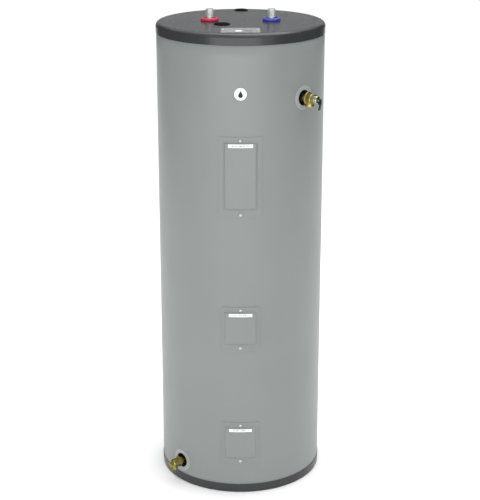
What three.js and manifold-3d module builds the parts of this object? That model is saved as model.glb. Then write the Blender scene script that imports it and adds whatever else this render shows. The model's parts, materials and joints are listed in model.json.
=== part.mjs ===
// Tall electric tank water heater, 190 litres, in millimetres with +Z up.
// The origin is on the tank's axis at floor level, and the front (the access covers) faces -Y.
import * as THREE from "three";
import { mergeVertices } from "three/addons/utils/BufferGeometryUtils.js";
import Module from "manifold-3d";

const wasm = await Module();
wasm.setup();

// ---------------------------------------------------------------- driving dimensions

const GAP = 0.3; // between solids that touch on the real object
const BEYOND = 15; // how far a cutting tool runs past the solid it cuts
const OUTER_SIDES = 48;
const INNER_SIDES = 24;
const FITTING_SIDES = 16;
const SMALL_SIDES = 8;

const HEIGHT = 1581; // floor to the top cover's face
const JACKET_RADIUS = 277.5;
const JACKET_WALL = 0.8;
const COVER_RADIUS = 279; // top cover and base pan
const COVER_SHEET = 1.2;
const TOP_COVER_DEPTH = 36;
const TOP_COVER_ROUNDING = 14;
const BEND_PIECES = 3;
const BASE_HEIGHT = 31;
const BASE_FLOOR = 3;

const TANK_RADIUS = 203;
const TANK_WALL = 2.5;
const TANK_SHELL_TOP = 1440;
const TOP_HEAD_RISE = 65;
const BOTTOM_HEAD_RIM = 34;
const BOTTOM_HEAD_RISE = 60;
const HEAD_SKIRT = 18;

const PIPE_RADIUS = 13.35; // three-quarter inch pipe
const PIPE_BORE = 10.45;
const SPUD_BORE = PIPE_RADIUS + GAP;
const NIPPLE_SPACING = 203.2; // eight inches between the water connections
const NIPPLE_TOP = 1620;
const NIPPLE_BOTTOM = 1484;
const SPUD_TOP = 1508;
const SPUD_BOTTOM = 1486;
const SPUD_RADIUS = 18;

const ANODE_SPOT = { x: -60, y: -80 };
const FOAM_PLUG_SPOT = { x: 2, y: 235 };

const SHEET_FRONT = JACKET_RADIUS + 0.5; // inner radius of a sheet that lies on the jacket
const FLANGE_SHEET = 1;
const COVER_RAISE = 7;
const SCREW_HOLE = 2.4;

// Access covers: flange, raised panel and screws as heights above the floor, widths from the centre line.
const ACCESS_COVERS = [
  {
    name: "upper",
    flange: { half: 69.5, low: 987, high: 1254 },
    panel: { low: 1013, high: 1237, half: 55.5, slope: 10 },
    screws: [997.4, 1242.4],
    pocket: { low: 1010, high: 1232 },
  },
  {
    name: "middle",
    flange: { half: 63, low: 523, high: 680 },
    panel: { low: 546, high: 663, half: 55.5, slope: 10 },
    screws: [535.7, 668.4],
    pocket: { low: 546, high: 657 },
  },
  {
    name: "lower",
    flange: { half: 63, low: 106.3, high: 263.3 },
    panel: { low: 129.3, high: 246.3, half: 55.5, slope: 10 },
    screws: [119, 251.7],
    pocket: { low: 129, high: 240 },
  },
];
const POCKET_HALF = 49;
const CONDUIT = { half: 24, inner: 221, outer: 252 };

const UPPER_ELEMENT_HEIGHT = 1046;
const LOWER_ELEMENT_HEIGHT = 185;
const UPPER_THERMOSTAT_HEIGHT = 1116;
const HIGH_LIMIT_HEIGHT = 1180;
const LOWER_THERMOSTAT_HEIGHT = 602;
const CONTROL_BACK = TANK_RADIUS + 1.5;
const CONTROL_FRONT = 228;
const CONTROL_HALF = 29;
const TERMINAL_FRONT = CONTROL_FRONT + 2;
const PAD = { back: 256, front: 272, clearance: 3 };

const RELIEF_VALVE = { angle: 47, height: 1363.5 };
const DRAIN_VALVE = { angle: -47.5, height: 78 };
const SIDE_HOLE = 25;
const SIDE_RING = 39.5;
const BADGE = { height: 1392.6, radius: 20, edge: 1.6, thickness: 2.6, bevel: 1.4 };
const SHANK_BACK = 201; // inner end of a side valve's threaded shank

const JUNCTION_BOX = { half: 50, back: -168, front: -246, floor: 1537, wall: 1 };
const JUNCTION_PLATE = { half: 62, back: -164, front: -250, screwX: 56 };

// ---------------------------------------------------------------- finishes

const FINISHES = {
  jacketPaint: [0x9ca1a0, 0.42, 0.25],
  trimPlastic: [0xb4b8b8, 0.35, 0],
  darkPaint: [0x6b6d6e, 0.35, 0.3],
  bareSteel: [0x8d8f90, 0.45, 0.9],
  zinc: [0xc6cacb, 0.3, 0.95],
  brass: [0xb08d3c, 0.3, 0.95],
  foam: [0xe3cf92, 0.95, 0],
  fibre: [0xd9d4c4, 1, 0],
  blackPlastic: [0x161616, 0.5, 0],
  redPlastic: [0xb8203a, 0.4, 0],
  bluePlastic: [0x3a3aa0, 0.4, 0],
  palePlastic: [0xe8e8e4, 0.45, 0],
  rubber: [0x222222, 0.8, 0],
  magnesium: [0xb7b9ba, 0.6, 0.8],
  redWire: [0xb02020, 0.5, 0],
  yellowWire: [0xd6b21f, 0.5, 0],
};

function finish(name) {
  const [color, roughness, metalness] = FINISHES[name];
  return new THREE.MeshStandardMaterial({ color, roughness, metalness });
}

// ---------------------------------------------------------------- solid helpers

const WELD = 1e-4;

function solidFrom(geometry) {
  const bare = geometry.clone();
  bare.deleteAttribute("normal");
  bare.deleteAttribute("uv");
  const merged = mergeVertices(bare, WELD);
  const mesh = new wasm.Mesh({
    numProp: 3,
    vertProperties: merged.attributes.position.array,
    triVerts: new Uint32Array(merged.index.array),
  });
  return new wasm.Manifold(mesh);
}

function geometryFrom(solid) {
  const mesh = solid.getMesh();
  const geometry = new THREE.BufferGeometry();
  geometry.setAttribute("position", new THREE.BufferAttribute(mesh.vertProperties, 3));
  geometry.setIndex(new THREE.BufferAttribute(mesh.triVerts, 1));
  return geometry;
}

function join(first, ...others) {
  const solid = others.reduce((sum, other) => sum.add(solidFrom(other)), solidFrom(first));
  return geometryFrom(solid);
}

function cut(first, ...tools) {
  const solid = tools.reduce((rest, tool) => rest.subtract(solidFrom(tool)), solidFrom(first));
  return geometryFrom(solid);
}

function common(first, second) {
  return geometryFrom(solidFrom(first).intersect(solidFrom(second)));
}

// A profile of [radius, height] points turned about Z. It starts and ends on the axis, or closes on itself.
function turned(profile, sides) {
  const points = profile.map(([radius, height]) => new THREE.Vector2(radius, height));
  return new THREE.LatheGeometry(points, sides).rotateX(Math.PI / 2);
}

function rod(radius, low, high, sides = SMALL_SIDES) {
  return turned([[0, low], [radius, low], [radius, high], [0, high]], sides);
}

function tube(outer, inner, low, high, sides = FITTING_SIDES) {
  return turned([[inner, low], [outer, low], [outer, high], [inner, high], [inner, low]], sides);
}

function hexagon(acrossFlats, low, high) {
  return rod(acrossFlats / Math.sqrt(3), low, high, 6);
}

function block([x0, x1], [y0, y1], [z0, z1]) {
  const box = new THREE.BoxGeometry(x1 - x0, y1 - y0, z1 - z0);
  return box.translate((x0 + x1) / 2, (y0 + y1) / 2, (z0 + z1) / 2);
}

// A round bar of the given radius carried along a curve.
function bar(curve, radius, steps, sides = 8) {
  const section = new THREE.Shape(
    Array.from({ length: sides }, (_, side) => {
      const turn = (2 * Math.PI * side) / sides;
      return new THREE.Vector2(radius * Math.cos(turn), radius * Math.sin(turn));
    }),
  );
  return new THREE.ExtrudeGeometry(section, { steps, extrudePath: curve });
}

const radians = THREE.MathUtils.degToRad;

// Points of an arc from one angle to another, in degrees, for a profile.
function arc(radius, height, bend, from, to, pieces) {
  return Array.from({ length: pieces + 1 }, (_, step) => {
    const turn = radians(from + ((to - from) * step) / pieces);
    return [radius + bend * Math.cos(turn), height + bend * Math.sin(turn)];
  });
}

// The frame of a fitting on the heater's side: X along the wall, Y up and Z outwards from the heater's axis.
function wallFrame(angle, height) {
  const group = new THREE.Group();
  group.position.z = height;
  group.rotation.set(Math.PI / 2, 0, radians(angle), "ZXY");
  return group;
}

// A cutting tool given in a wall frame, moved to the heater's own frame.
function onWall(angle, height, tool) {
  const frame = wallFrame(angle, height);
  frame.updateMatrix();
  return tool.clone().applyMatrix4(frame.matrix);
}

const FRONT = 0;

// A sheet bent round the heater's axis on a grid of angles and heights.
// lift(angle, height) is how far a point of it is raised outwards.
function bentSheet(angles, heights, innerRadius, thickness, lift) {
  const rows = heights.length;
  const layer = angles.length * rows;
  const positions = [];
  const lifts = [];
  for (const depth of [0, thickness]) {
    for (const angle of angles) {
      for (const height of heights) {
        const raise = lift(angle, height);
        const radius = innerRadius + depth + raise;
        positions.push(radius * Math.sin(angle), -radius * Math.cos(angle), height);
        lifts.push(raise);
      }
    }
  }
  const triangles = [];
  const quad = (a, b, c, d) => {
    const crossAC = Math.abs(lifts[a] - lifts[c]) >= Math.abs(lifts[b] - lifts[d]);
    triangles.push(...(crossAC ? [a, b, c, a, c, d] : [b, c, d, b, d, a]));
  };
  for (let column = 0; column + 1 < angles.length; column += 1) {
    for (let row = 0; row + 1 < rows; row += 1) {
      const a = column * rows + row;
      const b = a + rows;
      quad(layer + a, layer + b, layer + b + 1, layer + a + 1);
      quad(a, a + 1, b + 1, b);
    }
  }
  const edge = (from, to) => triangles.push(from, to, layer + to, from, layer + to, layer + from);
  const last = (angles.length - 1) * rows;
  for (let column = 0; column + 1 < angles.length; column += 1) {
    edge(column * rows, (column + 1) * rows);
    edge((column + 1) * rows + rows - 1, column * rows + rows - 1);
  }
  for (let row = 0; row + 1 < rows; row += 1) {
    edge(row + 1, row);
    edge(last + row, last + row + 1);
  }
  const geometry = new THREE.BufferGeometry();
  geometry.setAttribute("position", new THREE.Float32BufferAttribute(positions, 3));
  geometry.setIndex(triangles);
  return geometry;
}

// ---------------------------------------------------------------- assembly

const heater = new THREE.Group();

function addPart(parent, name, geometry, finishName) {
  const mesh = new THREE.Mesh(geometry, finish(finishName));
  mesh.name = name;
  parent.add(mesh);
}

// ---------------------------------------------------------------- outer shell

function basePan() {
  const floorEdge = COVER_RADIUS - 3.5;
  const inside = COVER_RADIUS - 1.1;
  return turned(
    [
      [0, 0],
      [floorEdge, 0],
      [COVER_RADIUS, 3.5],
      [COVER_RADIUS, BASE_HEIGHT],
      [inside, BASE_HEIGHT],
      [inside, BASE_FLOOR],
      [0, BASE_FLOOR],
    ],
    OUTER_SIDES,
  );
}

function screwHoles(outerRadius, innerRadius, holeRadius) {
  return ACCESS_COVERS.flatMap(({ screws }) =>
    screws.map((height) => onWall(FRONT, height, rod(holeRadius, innerRadius, outerRadius, 8))),
  );
}

function sideHoles(radius) {
  return [RELIEF_VALVE, DRAIN_VALVE].map(({ angle, height }) =>
    onWall(angle, height, rod(radius, TANK_RADIUS - 10, COVER_RADIUS + 10, 24)),
  );
}

function pocketBlocks(inner, outer) {
  return ACCESS_COVERS.map(({ pocket }) =>
    block([-POCKET_HALF, POCKET_HALF], [-outer, -inner], [pocket.low, pocket.high]),
  );
}

function jacket() {
  const bottom = BASE_FLOOR + 3.6;
  const top = HEIGHT - TOP_COVER_ROUNDING - 2;
  const wall = tube(JACKET_RADIUS, JACKET_RADIUS - JACKET_WALL, bottom, top, OUTER_SIDES);
  const seamAngles = [-1.6, 0, 1.6].map((angle) => radians(180 + angle));
  const seamHeights = [BASE_HEIGHT + 2, HEIGHT - TOP_COVER_DEPTH - 2];
  const seam = bentSheet(seamAngles, seamHeights, JACKET_RADIUS - JACKET_WALL, 1.5, () => 0);
  const holes = [
    ...pocketBlocks(JACKET_RADIUS - 20, JACKET_RADIUS + 5),
    ...sideHoles(SIDE_HOLE),
    ...screwHoles(JACKET_RADIUS + 2, JACKET_RADIUS - 5, SCREW_HOLE),
  ];
  return cut(join(wall, seam), ...holes);
}

function topCover() {
  const bottom = HEIGHT - TOP_COVER_DEPTH;
  const bendCentre = HEIGHT - TOP_COVER_ROUNDING;
  const bendRadius = COVER_RADIUS - TOP_COVER_ROUNDING;
  const innerBend = TOP_COVER_ROUNDING - COVER_SHEET;
  const shell = turned(
    [
      [COVER_RADIUS, bottom],
      ...arc(bendRadius, bendCentre, TOP_COVER_ROUNDING, 0, 90, BEND_PIECES),
      [0, HEIGHT],
      [0, HEIGHT - COVER_SHEET],
      ...arc(bendRadius, bendCentre, innerBend, 90, 0, BEND_PIECES),
      [COVER_RADIUS - COVER_SHEET, bottom],
      [COVER_RADIUS, bottom],
    ],
    OUTER_SIDES,
  );
  const low = HEIGHT - 5;
  const high = HEIGHT + 5;
  const through = (radius, x, y) => rod(radius, low, high, FITTING_SIDES).translate(x, y, 0);
  const { back, front, half } = JUNCTION_BOX;
  return cut(
    shell,
    through(15, -NIPPLE_SPACING / 2, 0),
    through(15, NIPPLE_SPACING / 2, 0),
    through(20.5, ANODE_SPOT.x, ANODE_SPOT.y),
    through(18.5, FOAM_PLUG_SPOT.x, FOAM_PLUG_SPOT.y),
    block([2 - half, half - 2], [front + 2, back - 2], [low, high]),
    ...[-1, 1].map((side) => through(SCREW_HOLE, side * JUNCTION_PLATE.screwX, junctionMiddle())),
  );
}

function junctionMiddle() {
  return (JUNCTION_BOX.back + JUNCTION_BOX.front) / 2;
}

// Thin curved ring round a valve's hole in the jacket.
function escutcheon({ angle, height }) {
  const low = height - SIDE_RING - BEYOND;
  const high = height + SIDE_RING + BEYOND;
  const skin = tube(SHEET_FRONT + FLANGE_SHEET, SHEET_FRONT, low, high, OUTER_SIDES);
  const disc = tube(SIDE_RING, SIDE_HOLE + GAP, TANK_RADIUS, COVER_RADIUS + BEYOND, 24);
  return common(skin, onWall(angle, height, disc));
}

function roundBadge() {
  const { radius, edge, thickness, bevel } = BADGE;
  const back = JACKET_RADIUS + GAP;
  const front = back + thickness;
  const profile = [[0, back], [radius, back], [radius, back + edge], [radius - bevel, front], [0, front]];
  return turned(profile, 24);
}

function addShell() {
  addPart(heater, "base_pan", basePan(), "darkPaint");
  addPart(heater, "jacket", jacket(), "jacketPaint");
  addPart(heater, "top_cover", topCover(), "darkPaint");
  addPart(heater, "tp_valve_escutcheon", escutcheon(RELIEF_VALVE), "trimPlastic");
  addPart(heater, "drain_valve_escutcheon", escutcheon(DRAIN_VALVE), "trimPlastic");
  const badge = wallFrame(FRONT, BADGE.height);
  addPart(badge, "round_badge", roundBadge(), "palePlastic");
  heater.add(badge);
}

// ---------------------------------------------------------------- inner tank

// Where a dished head's section has its points, as degrees of a quarter ellipse.
const DISH_TURNS = [0, 20, 43, 66];

// Height of a dished head's outer surface above its rim, an ellipse in section.
function dish(radius, rimRadius, rise) {
  return rise * Math.sqrt(Math.max(0, 1 - (radius / rimRadius) ** 2));
}

function dishedHead(rim, rise) {
  const outer = TANK_RADIUS - TANK_WALL - GAP;
  const inner = outer - TANK_WALL;
  const outside = DISH_TURNS.map((turn) => {
    const radius = outer * Math.cos(radians(turn));
    return [radius, rim + dish(radius, outer, rise)];
  });
  const inside = DISH_TURNS.map((turn) => {
    const radius = inner * Math.cos(radians(turn));
    return [radius, rim + dish(radius, inner, rise - TANK_WALL)];
  });
  return turned(
    [
      [outer, rim - HEAD_SKIRT],
      ...outside,
      [0, rim + rise],
      [0, rim + rise - TANK_WALL],
      ...inside.reverse(),
      [inner, rim - HEAD_SKIRT],
      [outer, rim - HEAD_SKIRT],
    ],
    INNER_SIDES,
  );
}

const TOP_FITTINGS = [
  { x: -NIPPLE_SPACING / 2, y: 0 },
  { x: NIPPLE_SPACING / 2, y: 0 },
  ANODE_SPOT,
];

function tankTopHead() {
  const head = dishedHead(TANK_SHELL_TOP, TOP_HEAD_RISE);
  const place = (shape, { x, y }) => shape.translate(x, y, 0);
  const spud = (spot) => place(rod(SPUD_RADIUS, SPUD_BOTTOM, SPUD_TOP, FITTING_SIDES), spot);
  const bore = (spot) => place(rod(SPUD_BORE, SPUD_BOTTOM - BEYOND, SPUD_TOP + BEYOND, FITTING_SIDES), spot);
  return cut(join(head, ...TOP_FITTINGS.map(spud)), ...TOP_FITTINGS.map(bore));
}

const ELEMENT_SPUD = { radius: 26, bore: 16, front: 212 };
const VALVE_SPUD = { radius: 22, bore: SPUD_BORE, front: 216 };
const SIDE_SPUDS = [
  { angle: FRONT, height: UPPER_ELEMENT_HEIGHT, ...ELEMENT_SPUD },
  { angle: FRONT, height: LOWER_ELEMENT_HEIGHT, ...ELEMENT_SPUD },
  { ...RELIEF_VALVE, ...VALVE_SPUD },
  { ...DRAIN_VALVE, ...VALVE_SPUD },
];

function tankShell() {
  const wall = tube(TANK_RADIUS, TANK_RADIUS - TANK_WALL, BASE_FLOOR + GAP, TANK_SHELL_TOP, INNER_SIDES);
  const back = TANK_RADIUS - TANK_WALL - 1.5;
  const spuds = SIDE_SPUDS.map((spud) =>
    onWall(spud.angle, spud.height, rod(spud.radius, back, spud.front, FITTING_SIDES)),
  );
  const bores = SIDE_SPUDS.map((spud) =>
    onWall(spud.angle, spud.height, rod(spud.bore, back - BEYOND, spud.front + BEYOND, FITTING_SIDES)),
  );
  return cut(join(wall, ...spuds), ...bores);
}

function foam() {
  const outer = JACKET_RADIUS - JACKET_WALL - 0.5;
  const inner = TANK_RADIUS + 0.4;
  const bottom = BASE_FLOOR + 4;
  const top = HEIGHT - COVER_SHEET - GAP;
  const corner = TOP_COVER_ROUNDING;
  const domeClearance = 1;
  const dome = DISH_TURNS.map((turn) => {
    const radius = inner * Math.cos(radians(turn));
    return [radius, TANK_SHELL_TOP + domeClearance + dish(radius, inner, TOP_HEAD_RISE + 2)];
  });
  const body = turned(
    [
      [inner, bottom],
      [outer, bottom],
      [outer, top - corner],
      [outer - corner, top],
      [0, top],
      [0, TANK_SHELL_TOP + domeClearance + TOP_HEAD_RISE + 2],
      ...dome.reverse(),
      [inner, bottom],
    ],
    INNER_SIDES,
  );
  const shaft = (radius, low, { x, y }) => rod(radius, low, top + 5, FITTING_SIDES).translate(x, y, 0);
  const box = JUNCTION_BOX;
  const spans = [
    [ACCESS_COVERS[2].pocket.high - 2, ACCESS_COVERS[1].pocket.low + 2],
    [ACCESS_COVERS[1].pocket.high - 2, ACCESS_COVERS[0].pocket.low + 2],
    [ACCESS_COVERS[0].pocket.high - 2, box.floor + 2],
  ];
  const conduits = spans.map((span) =>
    block([-CONDUIT.half, CONDUIT.half], [-CONDUIT.outer, -CONDUIT.inner], span),
  );
  return cut(
    body,
    ...TOP_FITTINGS.map((spot) => shaft(SPUD_RADIUS + 3, SPUD_BOTTOM - BEYOND, spot)),
    shaft(19, top - 22, FOAM_PLUG_SPOT),
    block([-box.half - 1, box.half + 1], [box.front - 1, box.back + 1], [box.floor - 1, top + 5]),
    ...[-1, 1].map((side) => shaft(3.5, top - 14, { x: side * JUNCTION_PLATE.screwX, y: junctionMiddle() })),
    ...pocketBlocks(TANK_RADIUS - 20, JACKET_RADIUS + 5),
    ...conduits,
    ...sideHoles(SIDE_HOLE - 1),
    ...screwHoles(JACKET_RADIUS + 2, JACKET_RADIUS - 18, SCREW_HOLE + 0.4),
  );
}

// A magnesium rod hanging from its threaded hexagon plug.
function anodeRod() {
  const rodRadius = 10.5;
  const lowEnd = 500;
  const thread = rod(PIPE_RADIUS, NIPPLE_BOTTOM + 4, SPUD_TOP + 2, FITTING_SIDES);
  const head = hexagon(27, SPUD_TOP + GAP, SPUD_TOP + 11);
  return join(rod(rodRadius, lowEnd, SPUD_TOP, SMALL_SIDES), thread, head);
}

function addTank() {
  addPart(heater, "tank_shell", tankShell(), "bareSteel");
  addPart(heater, "tank_top_head", tankTopHead(), "bareSteel");
  addPart(heater, "tank_bottom_head", dishedHead(BOTTOM_HEAD_RIM, BOTTOM_HEAD_RISE), "bareSteel");
  addPart(heater, "foam_insulation", foam(), "foam");
  const anode = new THREE.Group();
  anode.position.set(ANODE_SPOT.x, ANODE_SPOT.y, 0);
  addPart(anode, "anode_rod", anodeRod(), "magnesium");
  heater.add(anode);
}

// ---------------------------------------------------------------- top connections

function nipple() {
  const bevel = 1.2;
  return turned(
    [
      [PIPE_BORE, NIPPLE_BOTTOM],
      [PIPE_RADIUS, NIPPLE_BOTTOM],
      [PIPE_RADIUS, NIPPLE_TOP - bevel],
      [PIPE_RADIUS - bevel, NIPPLE_TOP],
      [PIPE_BORE, NIPPLE_TOP],
      [PIPE_BORE, NIPPLE_BOTTOM],
    ],
    FITTING_SIDES,
  );
}

// Plastic ring round a nipple, with a rounded outer edge and a recess next to the pipe.
function colourRing() {
  const bottom = HEIGHT + GAP;
  const inner = PIPE_RADIUS + 0.5;
  const recess = 20.5;
  const recessFloor = bottom + 3;
  const outer = 30;
  const bend = 5;
  const top = bottom + 10;
  return turned(
    [
      [inner, bottom],
      [outer, bottom],
      ...arc(outer - bend, top - bend, bend, 0, 90, BEND_PIECES),
      [recess, top],
      [recess, recessFloor],
      [inner, recessFloor],
      [inner, bottom],
    ],
    18,
  );
}

// A flat plastic plug with a spigot that sits in a hole of the top cover.
function plug(headRadius, spigotRadius) {
  const bottom = HEIGHT + GAP;
  const spigotBottom = HEIGHT - 9;
  return turned(
    [
      [0, spigotBottom],
      [spigotRadius, spigotBottom],
      [spigotRadius, bottom],
      [headRadius, bottom],
      [headRadius, bottom + 1.6],
      [headRadius - 2, bottom + 2.8],
      [0, bottom + 2.8],
    ],
    20,
  );
}

function junctionBox() {
  const { half, back, front, floor, wall } = JUNCTION_BOX;
  const rim = HEIGHT - COVER_SHEET - GAP;
  const outside = block([-half, half], [front, back], [floor, rim]);
  const inside = block([wall - half, half - wall], [front + wall, back - wall], [floor + wall, rim + 5]);
  const wireHole = block([-20, 20], [front + 4, front + 22], [floor - 5, floor + 5]);
  return cut(outside, inside, wireHole);
}

function panScrew(head, headHeight, shank, length) {
  return turned(
    [
      [0, -length],
      [shank, -length + 1.5],
      [shank, 0],
      [head, 0],
      [head, headHeight * 0.5],
      [head * 0.7, headHeight],
      [0, headHeight],
    ],
    SMALL_SIDES,
  );
}

function addTopConnections() {
  const sides = [
    { name: "hot", x: -NIPPLE_SPACING / 2, ring: "redPlastic" },
    { name: "cold", x: NIPPLE_SPACING / 2, ring: "bluePlastic" },
  ];
  for (const { name, x, ring } of sides) {
    const place = new THREE.Group();
    place.position.x = x;
    addPart(place, `${name}_nipple`, nipple(), "zinc");
    addPart(place, `${name}_ring`, colourRing(), ring);
    if (name === "cold") addPart(place, "dip_tube", tube(10.1, 8.6, 230, 1560, 16), "palePlastic");
    heater.add(place);
  }
  const caps = [
    { name: "anode_access_cap", spot: ANODE_SPOT, head: 26.5, spigot: 20 },
    { name: "foam_fill_plug", spot: FOAM_PLUG_SPOT, head: 23.5, spigot: 18 },
  ];
  for (const { name, spot, head, spigot } of caps) {
    const place = new THREE.Group();
    place.position.set(spot.x, spot.y, 0);
    addPart(place, name, plug(head, spigot), "blackPlastic");
    heater.add(place);
  }
  addPart(heater, "junction_box", junctionBox(), "zinc");
  const bottom = HEIGHT + GAP;
  const { half, back, front, screwX } = JUNCTION_PLATE;
  const holes = [-1, 1].map((side) =>
    rod(SCREW_HOLE, bottom - 5, bottom + 5, 8).translate(side * screwX, junctionMiddle(), 0),
  );
  const plate = cut(block([-half, half], [front, back], [bottom, bottom + COVER_SHEET]), ...holes);
  addPart(heater, "junction_box_cover", plate, "zinc");
  for (const [name, side] of [["left", -1], ["right", 1]]) {
    const place = new THREE.Group();
    place.position.set(side * screwX, junctionMiddle(), bottom + COVER_SHEET + GAP);
    addPart(place, `junction_cover_screw_${name}`, panScrew(4.8, 2.6, 2, 9), "zinc");
    heater.add(place);
  }
}

// ---------------------------------------------------------------- access covers

function accessCover({ flange, panel, screws }) {
  const toAngle = (width) => Math.asin(width / JACKET_RADIUS);
  const inner = panel.half - panel.slope;
  const widths = [flange.half, panel.half, inner, inner / 3];
  const angles = [...widths.map((width) => -toAngle(width)), ...widths.reverse().map(toAngle)];
  const topSlope = 4;
  const heights = [
    flange.low,
    panel.low,
    panel.low + panel.slope,
    panel.high - topSlope,
    panel.high,
    flange.high,
  ];
  const ramp = (distance, slope) => Math.min(1, Math.max(0, distance / slope));
  const lift = (angle, height) => {
    const side = ramp(toAngle(panel.half) - Math.abs(angle), toAngle(panel.half) - toAngle(inner));
    const low = ramp(height - panel.low, panel.slope);
    const high = ramp(panel.high - height, topSlope);
    return COVER_RAISE * Math.min(side, low, high);
  };
  const sheet = bentSheet(angles, heights, SHEET_FRONT, FLANGE_SHEET, lift);
  const tool = rod(SCREW_HOLE, JACKET_RADIUS - BEYOND, JACKET_RADIUS + BEYOND, 8);
  return cut(sheet, ...screws.map((height) => onWall(FRONT, height, tool)));
}

function insulationPad({ pocket }) {
  const half = POCKET_HALF - PAD.clearance;
  const low = pocket.low + PAD.clearance;
  const high = pocket.high - PAD.clearance;
  return block([-half, half], [-PAD.front, -PAD.back], [low, high]);
}

function addAccessCovers() {
  for (const cover of ACCESS_COVERS) {
    addPart(heater, `${cover.name}_access_cover`, accessCover(cover), "jacketPaint");
    addPart(heater, `${cover.name}_insulation_pad`, insulationPad(cover), "fibre");
    for (const [place, height] of [["lower", cover.screws[0]], ["upper", cover.screws[1]]]) {
      const spot = wallFrame(FRONT, height);
      const screw = panScrew(4.8, 3, 2, 12).translate(0, 0, SHEET_FRONT + FLANGE_SHEET + GAP);
      addPart(spot, `${cover.name}_cover_${place}_screw`, screw, "zinc");
      heater.add(spot);
    }
  }
}

// ---------------------------------------------------------------- elements and thermostats

// Screw-in element: a hexagon head with a terminal block, and a hairpin rod reaching across the tank.
function heatingElement() {
  const threadBack = 196;
  const seat = 214.6;
  const headFront = 222;
  const blockFront = 233;
  const legStart = 198;
  const legEnd = -70;
  const legOffset = 8;
  const rodRadius = 4;
  const bendSteps = 8;
  const leg = (side) => rod(rodRadius, legEnd, legStart).translate(0, side * legOffset, 0);
  const bendPoints = Array.from({ length: bendSteps + 1 }, (_, step) => {
    const turn = (Math.PI * step) / bendSteps;
    return new THREE.Vector3(0, -legOffset * Math.cos(turn), legEnd - legOffset * Math.sin(turn));
  });
  const insideLeg = (side) => new THREE.Vector3(0, side * legOffset, legEnd + 1);
  const bendCurve = new THREE.CatmullRomCurve3([insideLeg(-1), ...bendPoints, insideLeg(1)]);
  const terminal = (side) => rod(3.5, blockFront - 1, blockFront + 2.5).translate(side * legOffset, 0, 0);
  return join(
    rod(15.5, threadBack, seat + 1, FITTING_SIDES),
    hexagon(38, seat, headFront),
    block([-16, 16], [-11, 11], [headFront - 1, blockFront]),
    terminal(-1),
    terminal(1),
    leg(-1),
    leg(1),
    bar(bendCurve, rodRadius, 10),
  );
}

// Moulded switch body with four screw terminals and a round recess for its dial or button.
function controlBody(heightAbove, heightBelow, recessRadius, recessSpot, recessDepth) {
  const half = CONTROL_HALF;
  const inset = 8;
  const body = block([-half, half], [-heightBelow, heightAbove], [CONTROL_BACK, CONTROL_FRONT]);
  const terminals = [-1, 1].flatMap((side) =>
    [heightAbove - inset, inset - heightBelow].map((y) =>
      rod(4, CONTROL_FRONT - 1, TERMINAL_FRONT).translate(side * TERMINAL_X, y, 0),
    ),
  );
  const recess = rod(recessRadius, CONTROL_FRONT - recessDepth, CONTROL_FRONT + BEYOND, FITTING_SIDES);
  return cut(join(body, ...terminals), recess.translate(recessSpot.x, recessSpot.y, 0));
}

const TERMINAL_X = 20;
const DIAL_SPOT = { x: -8, y: -4 };
const RESET_SPOT = { x: 0, y: 4 };

function dial() {
  const back = CONTROL_FRONT - 2 + GAP;
  const front = CONTROL_FRONT + 2.5;
  const disc = rod(9, back, front, 20);
  const slot = block([-1, 1], [-6, 8], [front - 1.5, front + 1]);
  return cut(disc, slot);
}

function resetButton() {
  const radius = 4.3;
  const back = CONTROL_FRONT - 7.5;
  const front = CONTROL_FRONT + 3.5;
  const edge = 0.9;
  return turned(
    [[0, back], [radius, back], [radius, front - edge], [radius - edge, front], [0, front]],
    FITTING_SIDES,
  );
}

// The two side arms of a control bracket, clear of the control bodies between them.
const ARM = { inner: CONTROL_HALF + 1.2, outer: CONTROL_HALF + 3.5, front: CONTROL_FRONT + 3 };

function bracketArms(low, high, back) {
  const right = block([ARM.inner, ARM.outer], [low, high], [back, ARM.front]);
  const left = block([-ARM.outer, -ARM.inner], [low, high], [back, ARM.front]);
  return [left, right];
}

// Steel clip round the element's spud, with two arms that press the controls on the tank.
function upperBracket() {
  const back = ELEMENT_SPUD.front - 2.5;
  const ring = tube(33, ELEMENT_SPUD.radius + 1, back, back + 1.5, 24);
  const armTop = HIGH_LIMIT_HEIGHT + 20 - UPPER_ELEMENT_HEIGHT;
  return join(ring, ...bracketArms(5, armTop, back));
}

function lowerBracket() {
  const back = TANK_RADIUS + 3;
  const half = 44;
  const across = [-ARM.inner - 1, ARM.inner + 1];
  const bridgeBottoms = [-half, half - 6];
  const bridges = bridgeBottoms.map((low) => block(across, [low, low + 6], [back, back + 2]));
  return join(...bracketArms(-half, half, back), ...bridges);
}

function elementGasket() {
  const back = ELEMENT_SPUD.front + GAP;
  return tube(24, ELEMENT_SPUD.bore + 0.2, back, back + 2);
}

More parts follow.
